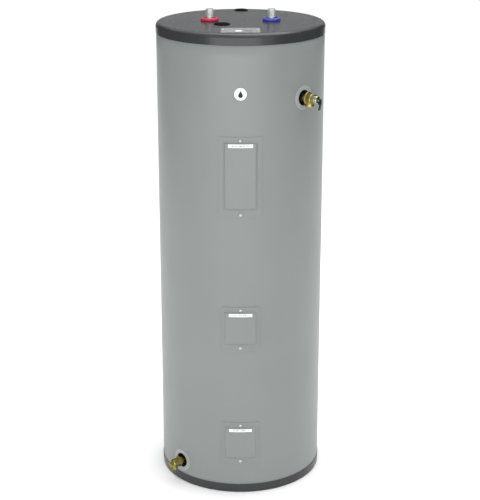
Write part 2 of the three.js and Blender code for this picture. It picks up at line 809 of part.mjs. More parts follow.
function addFrontFittings() {
  const elements = [
    { name: "upper", height: UPPER_ELEMENT_HEIGHT },
    { name: "lower", height: LOWER_ELEMENT_HEIGHT },
  ];
  for (const { name, height } of elements) {
    const frame = wallFrame(FRONT, height);
    addPart(frame, `${name}_element`, heatingElement(), "bareSteel");
    addPart(frame, `${name}_element_gasket`, elementGasket(), "rubber");
    if (name === "upper") addPart(frame, "upper_thermostat_bracket", upperBracket(), "zinc");
    heater.add(frame);
  }
  const thermostats = [
    { name: "upper", height: UPPER_THERMOSTAT_HEIGHT },
    { name: "lower", height: LOWER_THERMOSTAT_HEIGHT },
  ];
  for (const { name, height } of thermostats) {
    const frame = wallFrame(FRONT, height);
    addPart(frame, `${name}_thermostat`, controlBody(31, 31, 10, DIAL_SPOT, 2), "blackPlastic");
    if (name === "lower") addPart(frame, "lower_thermostat_bracket", lowerBracket(), "zinc");
    const dialPlace = new THREE.Group();
    dialPlace.position.set(DIAL_SPOT.x, DIAL_SPOT.y, 0);
    addPart(dialPlace, `${name}_dial`, dial(), "palePlastic");
    frame.add(dialPlace);
    heater.add(frame);
  }
  const limit = wallFrame(FRONT, HIGH_LIMIT_HEIGHT);
  addPart(limit, "high_limit_switch", controlBody(28, 28, 5, RESET_SPOT, 10), "blackPlastic");
  const buttonPlace = new THREE.Group();
  buttonPlace.position.set(RESET_SPOT.x, RESET_SPOT.y, 0);
  addPart(buttonPlace, "reset_button", resetButton(), "redPlastic");
  limit.add(buttonPlace);
  heater.add(limit);
}

// ---------------------------------------------------------------- internal wires

const WIRE_RADIUS = 1.8;
const WIRE_DEPTH = 237;

// Routes as [x, height, distance from the axis] in the front wall's frame.
const WIRE_ROUTES = [
  { name: "supply_wire_black", finish: "blackPlastic", steps: 15, side: -1, route: supplyRoute },
  { name: "supply_wire_red", finish: "redWire", steps: 15, side: 1, route: supplyRoute },
  { name: "thermostat_link_wire", finish: "redWire", steps: 20, side: -1, route: linkRoute },
  { name: "lower_element_return_wire", finish: "yellowWire", steps: 34, side: 1, route: returnRoute },
  { name: "lower_element_feed_wire", finish: "blackPlastic", steps: 18, side: -1, route: feedRoute },
];

function supplyRoute(side) {
  return [
    [side * 20, 1200, TERMINAL_FRONT + 2.2],
    [side * 19, 1214, WIRE_DEPTH - 2],
    [side * 14, 1250, WIRE_DEPTH],
    [side * 12, 1400, WIRE_DEPTH],
    [side * 12, 1530, WIRE_DEPTH - 2],
    [side * 14, 1560, 228],
    [side * 30, 1568, 222],
  ];
}

function linkRoute(side) {
  return [
    [side * 20, 1093, TERMINAL_FRONT + 2.2],
    [side * 24, 1080, WIRE_DEPTH],
    [side * 41, 1046, WIRE_DEPTH],
    [side * 17, 1000, WIRE_DEPTH],
    [side * 15, 840, WIRE_DEPTH],
    [side * 15, 660, WIRE_DEPTH],
    [side * 20, 625, TERMINAL_FRONT + 2.2],
  ];
}

function returnRoute(side) {
  return [
    [side * 20, 1160, TERMINAL_FRONT + 2.2],
    [side * 37, 1140, WIRE_DEPTH],
    [side * 41, 1050, WIRE_DEPTH],
    [side * 17, 1000, WIRE_DEPTH],
    [side * 15, 800, WIRE_DEPTH],
    [side * 16, 670, WIRE_DEPTH],
    [side * 37, 620, WIRE_DEPTH],
    [side * 37, 580, WIRE_DEPTH],
    [side * 16, 540, WIRE_DEPTH],
    [side * 15, 400, WIRE_DEPTH],
    [side * 15, 250, WIRE_DEPTH + 1],
    [side * 12, 205, WIRE_DEPTH + 3],
    [side * 8, 187, 237.6],
  ];
}

function feedRoute(side) {
  return [
    [side * 20, 579, TERMINAL_FRONT + 2.2],
    [side * 19, 560, WIRE_DEPTH],
    [side * 15, 530, WIRE_DEPTH],
    [side * 15, 400, WIRE_DEPTH],
    [side * 15, 250, WIRE_DEPTH + 1],
    [side * 12, 205, WIRE_DEPTH + 3],
    [side * 8, 187, 237.6],
  ];
}

function addWires() {
  for (const { name, finish: colour, steps, side, route } of WIRE_ROUTES) {
    const points = route(side).map(([x, height, depth]) => new THREE.Vector3(x, height, depth));
    const curve = new THREE.CatmullRomCurve3(points, false, "centripetal");
    const frame = wallFrame(FRONT, 0);
    addPart(frame, name, bar(curve, WIRE_RADIUS, steps), colour);
    heater.add(frame);
  }
}

// ---------------------------------------------------------------- relief valve

const LEVER_PIVOT = JACKET_RADIUS + 65;
const BONNET_BACK = 318;
const BONNET_FRONT = LEVER_PIVOT - 5;
const RELIEF_COLLAR = { radius: 21, back: 292, front: 299, bevel: 1.5 };
const RELIEF_OUTLET = { depth: 302.5, drop: 26, radius: 15.2, bore: 9.6 };
const RELIEF_BORE = 7.4;

// A rod pointing down from a valve's axis at the given depth.
function downwards(radius, length, depth) {
  return rod(radius, 0, length, FITTING_SIDES).rotateX(Math.PI / 2).translate(0, 0, depth);
}

function reliefBody() {
  const { radius, back, front, bevel } = RELIEF_COLLAR;
  const outlet = RELIEF_OUTLET;
  const collar = turned(
    [
      [0, back],
      [radius - bevel, back],
      [radius, back + bevel],
      [radius, front - bevel],
      [radius - bevel, front],
      [0, front],
    ],
    24,
  );
  const outside = join(
    rod(PIPE_RADIUS, SHANK_BACK, back + 1, FITTING_SIDES),
    collar,
    rod(17, front - 1, BONNET_BACK, FITTING_SIDES),
    downwards(outlet.radius, outlet.drop, outlet.depth),
  );
  return cut(
    outside,
    rod(RELIEF_BORE, SHANK_BACK - BEYOND, BONNET_BACK + BEYOND, FITTING_SIDES),
    downwards(outlet.bore, outlet.drop + BEYOND, outlet.depth),
  );
}

function reliefBonnet() {
  const back = BONNET_BACK + GAP;
  const front = BONNET_FRONT;
  const wall = 3;
  const dome = [[0, back], [13, back], [13, front - wall], [10, front], [0, front]];
  const outside = join(turned(dome, FITTING_SIDES), hexagon(30, back, back + 6));
  const springRoom = rod(7.8, back - BEYOND, front - wall, FITTING_SIDES);
  const stemHole = rod(3.2, back, front + BEYOND);
  return cut(outside, springRoom, stemHole);
}

// Valve stem with its heat-sensing probe, seat disc, spring disc and the eye for the lever's pin.
function reliefStem() {
  const eye = rod(2.9, -2.4, 2.4, 16).rotateY(Math.PI / 2).translate(0, 0, LEVER_PIVOT);
  const hole = rod(1.75, -5, 5, 12).rotateY(Math.PI / 2).translate(0, 0, LEVER_PIVOT);
  const shaft = join(
    rod(2.4, 110, LEVER_PIVOT - 1.5, SMALL_SIDES),
    rod(4, 110, 194, SMALL_SIDES),
    rod(6.6, 289, 292, 16),
    rod(6.6, 302, 303.5, 16),
    eye,
  );
  return cut(shaft, hole);
}

function reliefSpring() {
  const turns = 5;
  const start = 305;
  const pitch = 4;
  const coil = new (class extends THREE.Curve {
    getPoint(t, target = new THREE.Vector3()) {
      const turn = 2 * Math.PI * turns * t;
      return target.set(5.2 * Math.cos(turn), 5.2 * Math.sin(turn), start + pitch * turns * t);
    }
  })();
  return bar(coil, 0.9, turns * 6, 6);
}

// Bent strip lever hanging from its pin, drawn round the pivot as its own origin. Its tail leans inwards.
function testLever() {
  const cheek = { inner: 3, outer: 4.6 };
  const sheet = { back: 3.3, front: 4.8 };
  const top = 3.6;
  const shoulder = -13;
  const tail = { half: 5.5, start: -11.5, length: 21, lean: 13 };
  const cheeks = [
    block([cheek.inner, cheek.outer], [shoulder, top], [-3.5, sheet.front - 0.2]),
    block([-cheek.outer, -cheek.inner], [shoulder, top], [-3.5, sheet.front - 0.2]),
  ];
  const web = block([-cheek.outer, cheek.outer], [shoulder, top], [sheet.back, sheet.front]);
  const middle = (sheet.back + sheet.front) / 2;
  const thickness = sheet.front - sheet.back;
  const strip = block([-tail.half, tail.half], [-tail.length, 0], [-thickness / 2, thickness / 2]);
  strip.rotateX(radians(tail.lean)).translate(0, tail.start, middle);
  const hole = rod(1.75, -8, 8, 12).rotateY(Math.PI / 2);
  return cut(join(...cheeks, web, strip), hole);
}

function leverPin() {
  const headStart = 4.9;
  const headEnd = 6.2;
  const shaft = rod(1.45, -headStart - 1, headStart + 1, 12);
  const heads = [rod(2.6, headStart, headEnd, 12), rod(2.6, -headEnd, -headStart, 12)];
  return join(shaft, ...heads).rotateY(Math.PI / 2);
}

function addReliefValve() {
  const valve = wallFrame(RELIEF_VALVE.angle, RELIEF_VALVE.height);
  addPart(valve, "tp_valve_body", reliefBody(), "brass");
  addPart(valve, "tp_valve_bonnet", reliefBonnet(), "zinc");
  addPart(valve, "tp_valve_stem", reliefStem(), "zinc");
  addPart(valve, "tp_valve_spring", reliefSpring(), "bareSteel");
  const pivot = new THREE.Group();
  pivot.position.z = LEVER_PIVOT;
  addPart(pivot, "tp_valve_lever", testLever(), "blackPlastic");
  addPart(pivot, "tp_valve_lever_pin", leverPin(), "zinc");
  valve.add(pivot);
  heater.add(valve);
}

// ---------------------------------------------------------------- drain valve

const DRAIN_OUTLET = JACKET_RADIUS + 36;
const DRAIN_BODY_FRONT = 322;
const NOZZLE_MOUTH = 22;

// Hose thread as rounded ridges round the nozzle, listed from its mouth upwards.
function hoseNozzle() {
  const mouth = NOZZLE_MOUTH;
  const ridge = 2.2;
  const crest = 13.4;
  const root = 12.2;
  const ridges = Array.from({ length: 3 }, (_, step) => {
    const start = mouth - 1 - step * ridge;
    return [[crest, start - ridge * 0.3], [root, start - ridge]];
  }).flat();
  const neck = 11.6;
  const profile = [[0, mouth], [root, mouth], ...ridges, [neck, mouth - 9], [neck, 0], [0, 0]];
  return turned(profile.reverse(), FITTING_SIDES);
}

function drainBody() {
  const collarBack = 288;
  const collarFront = 297;
  const nutFront = DRAIN_BODY_FRONT + 4;
  const waterway = 8;
  const outside = join(
    rod(PIPE_RADIUS, SHANK_BACK, collarBack + 4, FITTING_SIDES),
    hexagon(33, collarBack, collarFront),
    rod(14.5, collarFront - 1, DRAIN_BODY_FRONT, FITTING_SIDES),
    hexagon(21, DRAIN_BODY_FRONT - 1, nutFront),
    hoseNozzle().rotateX(Math.PI / 2).translate(0, 0, DRAIN_OUTLET),
  );
  return cut(
    outside,
    rod(waterway, SHANK_BACK - BEYOND, DRAIN_BODY_FRONT - 2, FITTING_SIDES),
    rod(4, DRAIN_BODY_FRONT - 5, nutFront + BEYOND),
    downwards(waterway, NOZZLE_MOUTH + BEYOND, DRAIN_OUTLET),
  );
}

function drainStem() {
  const shankBack = DRAIN_BODY_FRONT - 4.5;
  const headBack = DRAIN_BODY_FRONT + 4 + GAP;
  const front = headBack + 5.5;
  const shape = turned(
    [
      [0, shankBack],
      [3.6, shankBack],
      [3.6, headBack],
      [7, headBack],
      [7, front - 1],
      [6, front],
      [0, front],
    ],
    FITTING_SIDES,
  );
  return cut(shape, block([-1, 1], [-10, 10], [front - 3, front + 3]));
}

function addDrainValve() {
  const valve = wallFrame(DRAIN_VALVE.angle, DRAIN_VALVE.height);
  addPart(valve, "drain_valve_body", drainBody(), "brass");
  addPart(valve, "drain_valve_stem", drainStem(), "brass");
  addPart(valve, "drain_valve_plug", rod(7.4, 304, 310, 16), "rubber");
  heater.add(valve);
}

// ---------------------------------------------------------------- everything together

addShell();
addTank();
addTopConnections();
addAccessCovers();
addFrontFittings();
addWires();
addReliefValve();
addDrainValve();

export default heater;
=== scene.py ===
"""Tall electric tank water heater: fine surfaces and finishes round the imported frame, in metres."""
import json
from math import atan2, cos, pi, radians, sin, sqrt

import bmesh
import bpy
import numpy as np
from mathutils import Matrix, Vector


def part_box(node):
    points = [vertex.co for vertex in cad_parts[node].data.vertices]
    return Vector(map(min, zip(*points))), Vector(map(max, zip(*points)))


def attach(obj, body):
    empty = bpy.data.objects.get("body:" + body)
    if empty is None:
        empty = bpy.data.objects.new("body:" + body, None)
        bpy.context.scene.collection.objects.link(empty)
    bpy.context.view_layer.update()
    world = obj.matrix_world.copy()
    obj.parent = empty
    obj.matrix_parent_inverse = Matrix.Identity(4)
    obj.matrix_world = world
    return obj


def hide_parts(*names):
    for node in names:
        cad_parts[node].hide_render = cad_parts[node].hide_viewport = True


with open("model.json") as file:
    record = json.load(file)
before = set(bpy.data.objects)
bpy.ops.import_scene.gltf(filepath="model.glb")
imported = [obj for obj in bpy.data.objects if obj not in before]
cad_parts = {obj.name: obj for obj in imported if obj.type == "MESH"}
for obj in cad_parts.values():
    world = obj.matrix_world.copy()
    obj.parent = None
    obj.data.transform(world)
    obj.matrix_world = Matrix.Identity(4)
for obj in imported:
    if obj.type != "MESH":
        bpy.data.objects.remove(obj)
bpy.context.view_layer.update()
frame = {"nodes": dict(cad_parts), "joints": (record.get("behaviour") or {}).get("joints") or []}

MM = 0.001
WELD = 0.000001
JOINTS = {joint["name"]: joint for joint in frame["joints"]}


# ------------------------------------------------------------------ sizes taken from the frame

def span(node):
    """Lowest and highest corner of a node, as arrays."""
    low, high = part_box(node)
    return np.array(low), np.array(high)


def middle(node):
    """Middle of a node's box."""
    low, high = span(node)
    return (low + high) / 2


def millimetres(value):
    """A length in metres as millimetres."""
    return value / MM


def side_angle(joint):
    """Angle of a joint's outward axis round the heater, from the front towards the cold side."""
    x, y, _ = JOINTS[joint]["axis"]
    return atan2(x, -y)


JACKET_RADIUS = span("jacket")[1][0]
COVER_RADIUS = span("top_cover")[1][0]
COVER_FACE = span("top_cover")[1][2]
COVER_EDGE = span("top_cover")[0][2]
BASE_TOP = span("base_pan")[1][2]
RELIEF = (side_angle("tp_stem_lift"), JOINTS["tp_lever_swing"]["pos_m"][2])
DRAIN = (side_angle("drain_plug_lift"), JOINTS["drain_stem_turn"]["pos_m"][2])
PIVOT_OUT = float(np.hypot(*JOINTS["tp_lever_swing"]["pos_m"][:2]))
ACCESS = ("upper", "middle", "lower")
POCKET_HALF = 49 * MM
POCKET_GAP = 3 * MM
SIDE_HOLE = 25 * MM
SCREW_HOLE = 2.4 * MM
SCREW_HEAD = 4.8 * MM
PIPE_RADIUS = 13.35
SHANK_BACK = 201
ROUND = 192


# ------------------------------------------------------------------ surfaces on grids

def patch(points, loop=True, keep=None):
    """Quads between a grid's neighbouring points; loop joins the last column to the first."""
    rows, columns = points.shape[:2]
    index = np.arange(rows * columns).reshape(rows, columns)
    if loop:
        index = np.hstack([index, index[:, :1]])
    corners = [index[:-1, :-1], index[:-1, 1:], index[1:, 1:], index[1:, :-1]]
    faces = np.stack(corners, axis=-1)
    faces = faces.reshape(-1, 4) if keep is None else faces[keep]
    return points.reshape(-1, 3), faces


def together(*patches):
    """Several patches as one list of vertices and one of faces."""
    starts = np.cumsum([0] + [len(vertices) for vertices, _ in patches[:-1]])
    vertices = np.vstack([vertices for vertices, _ in patches])
    faces = np.vstack([faces + start for (_, faces), start in zip(patches, starts)])
    return vertices, faces


def placed(shape, place):
    """A patch moved by a place function."""
    vertices, faces = shape
    return place(vertices), faces


def make_object(name, shape, closed=True, sharp=38):
    """A mesh object with its doubles merged and, if it is closed, its faces turned outwards."""
    vertices, faces = shape
    mesh = bpy.data.meshes.new(name)
    mesh.from_pydata(vertices, [], faces)
    form = bmesh.new()
    form.from_mesh(mesh)
    bmesh.ops.remove_doubles(form, verts=form.verts, dist=WELD)
    loose = [vertex for vertex in form.verts if not vertex.link_faces]
    bmesh.ops.delete(form, geom=loose, context="VERTS")
    if closed:
        bmesh.ops.recalc_face_normals(form, faces=form.faces)
    form.to_mesh(mesh)
    form.free()
    mesh.shade_smooth()
    mesh.set_sharp_from_angle(angle=radians(sharp))
    made = bpy.data.objects.new(name, mesh)
    bpy.context.scene.collection.objects.link(made)
    return made


def piece(name, body, slot, shape, nodes=(), closed=True, wall=0.0, sharp=38, look=None):
    """A finished piece that rides on a body; wall is the thickness that an open sheet gets inwards.

    look is a finish of its own within the slot.
    """
    made = make_object(name, shape, closed, sharp)
    if wall:
        sheet = made.modifiers.new("wall", "SOLIDIFY")
        sheet.thickness = wall
        sheet.offset = -1
    made.data.materials.append(look or FINISHES[slot])
    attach(made, body)
    if nodes:
        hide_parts(*nodes)
    return made


def wall_place(angle, height):
    """A place on the heater's side: X along the wall, Y up and Z outwards from the heater's axis."""
    turn = np.array([[cos(angle), sin(angle), 0], [0, 0, 1], [sin(angle), -cos(angle), 0]])
    return lambda points: points @ turn + np.array([0, 0, height])


def top_place(x, y, height=0.0):
    """A place with the heater's own directions."""
    return lambda points: points + np.array([x, y, height])


def turned(profile, sides=64):
    """A profile of (radius, height) turned about Z: x = r cos a, y = r sin a, z = h."""
    angle = 2 * pi * np.arange(sides) / sides
    radius, height = np.array(profile).T
    x = radius[:, None] * np.cos(angle)
    y = radius[:, None] * np.sin(angle)
    z = height[:, None] * np.ones(sides)
    return patch(np.stack([x, y, z], axis=-1))


def eased(corners, radius, steps=4, closed=False):
    """An outline in millimetres with its corners B rounded: (1-t)^2 A + 2t(1-t) B + t^2 C, A and C near B."""
    points = np.array(corners, float) * MM
    before = np.roll(points, 1, axis=0) - points
    after = np.roll(points, -1, axis=0) - points
    far_before = np.linalg.norm(before, axis=1, keepdims=True)
    far_after = np.linalg.norm(after, axis=1, keepdims=True)
    reach = np.minimum(radius * MM, 0.45 * np.minimum(far_before, far_after))
    first = (points + before * reach / far_before)[:, None]
    last = (points + after * reach / far_after)[:, None]
    t = np.linspace(0, 1, steps + 1)[None, :, None]
    curves = (1 - t) ** 2 * first + 2 * t * (1 - t) * points[:, None] + t ** 2 * last
    if closed:
        rounded = curves.reshape(-1, 2)
        return np.vstack([rounded, rounded[:1]])
    return np.vstack([points[:1], curves[1:-1].reshape(-1, 2), points[-1:]])


def ring_rows(section, sides=48):
    """Rows of points round Z for (radius, height) pairs, the last column lying on the first."""
    angle = 2 * pi * np.arange(sides + 1)[None] / sides
    radius, height = section[:, :1], section[:, 1:]
    return np.stack([radius * np.cos(angle), radius * np.sin(angle), height + 0 * angle], axis=-1)


def polygon(corners, radius, steps=6):
    """A convex outline in millimetres, anticlockwise, whose corners are arcs between the sides' normals."""
    points = np.array(corners, float)
    side = np.roll(points, -1, axis=0) - points
    side /= np.linalg.norm(side, axis=1, keepdims=True)
    normal_after = np.stack([side[:, 1], -side[:, 0]], axis=1)
    normal_before = np.roll(normal_after, 1, axis=0)
    cosine = np.sum(normal_after * normal_before, axis=1, keepdims=True)
    centre = points - radius * (normal_after + normal_before) / (1 + cosine)
    start = np.arctan2(normal_before[:, 1], normal_before[:, 0])
    angle = start[:, None] + np.arccos(cosine) * np.linspace(0, 1, steps + 1)
    arcs = centre[:, None] + radius * np.stack([np.cos(angle), np.sin(angle)], axis=-1)
    return arcs.reshape(-1, 2) * MM


def rectangle(half_x, half_y, corner):
    """A rounded rectangle's outline round the origin."""
    corners = [(-half_x, -half_y), (half_x, -half_y), (half_x, half_y), (-half_x, half_y)]
    return polygon(corners, corner)


def hexagon(across, corner=0.8):
    """A rounded hexagon's outline from its size across flats."""
    angle = radians(60) * np.arange(6)
    return polygon(across / sqrt(3) * np.stack([np.cos(angle), np.sin(angle)], axis=1), corner, 3)


def layered(outline, layers):
    """Rings of an outline, each scaled about the origin and lifted, from layers of (scale, height in mm)."""
    scale, height = np.array(layers, float).T
    flat = outline[None] * scale[:, None, None]
    up = np.broadcast_to((height * MM)[:, None, None], flat.shape[:2] + (1,))
    return patch(np.concatenate([flat, up], axis=-1))


def slab(outline, low, high, soft=0.3):
    """A flat solid of an outline between two heights, its edges eased by soft."""
    half = np.abs(outline).max() / MM
    inner = 1 - soft / half
    middle_scale = 1 - 0.3 * soft / half
    step = 0.3 * soft
    flat = inner - 0.02 * soft / half
    rings = [(0, low), (flat, low), (inner, low), (middle_scale, low + step), (1, low + soft)]
    rings += [(1, high - soft), (middle_scale, high - step), (inner, high), (flat, high), (0, high)]
    return layered(outline, rings)


def swept(path, section, across):
    """A section of (along across, along normal) points carried along a path, closed at both ends."""
    tangent = np.gradient(path, axis=0)
    tangent /= np.linalg.norm(tangent, axis=1, keepdims=True)
    normal = np.cross(tangent, across)
    normal /= np.linalg.norm(normal, axis=1, keepdims=True)
    side = np.cross(normal, tangent)
    rings = path[:, None] + section[:, :1] * side[:, None] + section[:, 1:] * normal[:, None]
    ends = [np.broadcast_to(path[end], rings[:1].shape) for end in (0, -1)]
    return patch(np.concatenate([ends[0], rings, ends[1]]))


def circle(radius, sides=12):
    """Points round a circle of a radius in millimetres."""
    angle = 2 * pi * np.arange(sides) / sides
    return radius * MM * np.stack([np.cos(angle), np.sin(angle)], axis=1)


def lines(low, high, step, marks=()):
    """Grid lines about a step apart, with the marks added and their near neighbours left out."""
    even = np.linspace(low, high, max(2, round((high - low) / step) + 1))
    marks = np.array(sorted(marks))
    if len(marks):
        near = np.abs(even[:, None] - marks[None]).min(axis=1) < 0.45 * step
        near[[0, -1]] = False
        even = even[~near]
    ordered = np.sort(np.concatenate([even, marks]))
    return ordered[np.concatenate([[True], np.diff(ordered) > WELD])]


def smooth(t):
    """The ease t^2 (3 - 2t) of t held between 0 and 1."""
    t = np.clip(t, 0, 1)
    return t * t * (3 - 2 * t)


# ------------------------------------------------------------------ shader expressions

class Value:
    """A shader socket whose Python arithmetic adds Math nodes."""

    def __init__(self, finish, socket):
        self.finish = finish
        self.socket = socket

    def __add__(self, other):
        return self.finish.math("ADD", self, other)

    def __sub__(self, other):
        return self.finish.math("SUBTRACT", self, other)

    def __mul__(self, other):
        return self.finish.math("MULTIPLY", self, other)

    __radd__ = __add__


class Finish:
    """A material built on one Principled shader."""

    def __init__(self, name, roughness, metallic=0.0, **constants):
        self.material = bpy.data.materials.new(name)
        self.material.use_nodes = True
        self.tree = self.material.node_tree
        self.shader = self.tree.nodes["Principled BSDF"]
        self.shader.inputs["Roughness"].default_value = roughness
        self.shader.inputs["Metallic"].default_value = metallic
        for socket, value in constants.items():
            self.shader.inputs[socket.replace("_", " ")].default_value = value
        self.here = self.node("ShaderNodeTexCoord", "Object")

    def node(self, kind, output, settings=None, inputs=None):
        """Adds a node, sets its settings first and then its sockets, and gives one of its outputs."""
        made = self.tree.nodes.new(kind)
        for name, value in (settings or {}).items():
            setattr(made, name, value)
        for name, value in (inputs or {}).items():
            if isinstance(value, Value):
                self.tree.links.new(value.socket, made.inputs[name])
            else:
                made.inputs[name].default_value = value
        return Value(self, made.outputs[output])

    def math(self, operation, first, second=0):
        """A Math node's result."""
        return self.node("ShaderNodeMath", "Value", {"operation": operation}, {0: first, 1: second})

    def noise(self, size, detail=2.0, rough=0.5, stretch=(1, 1, 1)):
        """Noise whose features are about size millimetres across, stretched along the axes."""
        scale = tuple(1 / part for part in stretch)
        spot = self.node("ShaderNodeMapping", "Vector", None, {"Vector": self.here, "Scale": scale})
        sockets = {"Vector": spot, "Scale": 1 / (size * MM), "Detail": detail, "Roughness": rough}
        return self.node("ShaderNodeTexNoise", "Fac", None, sockets)

    def cells(self, size):
        """Distance to the nearest of scattered points about size millimetres apart."""
        sockets = {"Vector": self.here, "Scale": 1 / (size * MM)}
        return self.node("ShaderNodeTexVoronoi", "Distance", None, sockets)

    def distance(self, axis, height=0):
        """Distance along one of the object's axes from a height on it."""
        place = self.node("ShaderNodeSeparateXYZ", axis, None, {"Vector": self.here})
        return self.math("ABSOLUTE", place - height)

    def mask(self, value, low, high):
        """0 below low, 1 above high and smooth between."""
        sockets = {"Value": value, "From Min": low, "From Max": high}
        return self.node("ShaderNodeMapRange", "Result", {"interpolation_type": "SMOOTHSTEP"}, sockets)

    def mix(self, factor, first, second):
        """A colour between two colours."""
        first, second = (c if isinstance(c, Value) else (*c, 1) for c in (first, second))
        settings = {"data_type": "RGBA"}
        return self.node("ShaderNodeMix", 2, settings, {0: factor, 6: first, 7: second})

    def bump(self, *layers):
        """Bumps of (height, depth in millimetres), one on top of the other, into the shader's normal."""
        normal = None
        for height, depth in layers:
            sockets = {"Height": height, "Distance": depth * MM}
            if normal:
                sockets["Normal"] = normal
            normal = self.node("ShaderNodeBump", "Normal", None, sockets)
        self.set("Normal", normal)

    def set(self, socket, value):
        """Links a value to one of the shader's sockets."""
        self.tree.links.new(value.socket, self.shader.inputs[socket])


# ------------------------------------------------------------------ finishes

def paint(name, colour, dark, roughness, wave, peel, **constants):
    """Baked enamel on sheet steel: orange peel, a faint wave in the sheet, wiped smears and fine dust."""
    finish = Finish(name, roughness, **constants)
    broad = finish.noise(240, 3)
    smear = finish.mask(finish.noise(60, 5, 0.6, (1, 1, 2.5)), 0.45, 0.75)
    dust = finish.mask(finish.noise(1.4, 1), 0.7, 0.78)
    scratch = finish.mask(finish.noise(5, 2, 0.5, (0.2, 0.2, 9)), 0.74, 0.78)
    tone = finish.mix(finish.mask(broad, 0.3, 0.7), dark, colour)
    tone = finish.mix(dust * 0.06, tone, (0.5, 0.5, 0.48))
    finish.set("Base Color", finish.mix(scratch * 0.08, tone, (0.45, 0.46, 0.46)))
    finish.set("Roughness", roughness - 0.03 + broad * 0.05 + smear * 0.06 + dust * 0.1)
    finish.bump((finish.noise(110, 2), wave), (finish.noise(1.1, 2), peel))
    return finish.material


def bright_metal(name, colour, dull, roughness, grain):
    """Plated or turned metal: fine grain, stains that dull it and small dents."""
    finish = Finish(name, roughness, 1.0)
    stain = finish.mask(finish.noise(9, 5, 0.6), 0.42, 0.72)
    fine = finish.noise(0.7, 3, 0.6, grain)
    finish.set("Base Color", finish.mix(stain, colour, dull))
    finish.set("Roughness", roughness + stain * 0.16 + fine * 0.1)
    finish.bump((finish.noise(3.5, 3), 0.05), (fine, 0.012))
    return finish.material


def rough_steel(name, colour, dull, roughness, metallic):
    """Black iron or cast metal: scale, pits and faint rust bloom."""
    finish = Finish(name, roughness, metallic)
    scale = finish.noise(14, 6, 0.65)
    pits = finish.cells(2.2)
    bloom = finish.mask(finish.noise(35, 4), 0.56, 0.8)
    tone = finish.mix(scale, colour, dull)
    finish.set("Base Color", finish.mix(bloom * 0.35, tone, (0.16, 0.07, 0.03)))
    finish.set("Roughness", roughness + scale * 0.2)
    finish.bump((scale, 0.25), (pits, 0.06))
    return finish.material


def plastic(name, colour, worn, roughness, texture, **constants):
    """Moulded plastic: a fine spark texture, flow marks and rubbed patches."""
    finish = Finish(name, roughness, **constants)
    rubbed = finish.mask(finish.noise(12, 5, 0.6), 0.5, 0.8)
    flow = finish.noise(30, 2, 0.5, (1, 1, 0.4))
    finish.set("Base Color", finish.mix(rubbed * 0.5 + flow * 0.2, colour, worn))
    finish.set("Roughness", roughness + rubbed * 0.1)
    finish.bump((flow, 0.08), (finish.noise(0.5, 2), texture))
    return finish.material


def label_paper(height):
    """White paper with one grey line at a height: short dashes of noise with no letters."""
    finish = Finish("label_paper", 0.5)
    on_line = finish.mask(finish.distance("Z", height) * -1, -0.0024, -0.0016)
    line = on_line * finish.mask(finish.distance("X") * -1, -0.029, -0.026)
    dashes = finish.mask(finish.noise(3.2, 2, 0.6, (1, 1, 6)), 0.42, 0.56)
    fibres = finish.noise(0.8, 4, 0.7)
    paper = finish.mix(fibres, (0.74, 0.75, 0.74), (0.84, 0.85, 0.84))
    finish.set("Base Color", finish.mix(line * dashes * 0.75, paper, (0.10, 0.10, 0.11)))
    finish.bump((fibres, 0.01))
    return finish.material


def foam_finish():
    """Rigid foam: open cells where it was cut, painted shade as dark spots in the cells, and a yellowed tint.
    """
    finish = Finish("foam", 0.95)
    cell = finish.cells(1.6)
    big = finish.cells(7)
    tint = finish.mix(finish.noise(40, 4), (0.83, 0.70, 0.42), (0.66, 0.49, 0.24))
    # Painted shade: the dark brown at the middle of each cell stands for the shade inside the open pores.
    finish.set("Base Color", finish.mix(finish.mask(cell, 0.05, 0.4), (0.50, 0.36, 0.17), tint))
    finish.bump((cell, 0.5), (big, 0.7))
    return finish.material


def fibre_finish():
    """Glass wool: long crossing strands, tufts and painted shade in the gaps between the strands."""
    finish = Finish("fibre", 1.0)
    strands = finish.noise(1.4, 4, 0.7, (6, 1, 1)) + finish.noise(1.4, 4, 0.7, (1, 1, 6))
    tufts = finish.noise(14, 4, 0.6)
    tint = finish.mix(tufts, (0.86, 0.74, 0.42), (0.88, 0.80, 0.58))
    gap_shade = finish.mask(strands, 0.85, 1.2)
    # Painted shade: the dark brown between the strands stands for the shade in the gaps of the wool.
    finish.set("Base Color", finish.mix(gap_shade, (0.48, 0.36, 0.16), tint))
    finish.bump((tufts, 2.0), (strands, 0.7))
    return finish.material


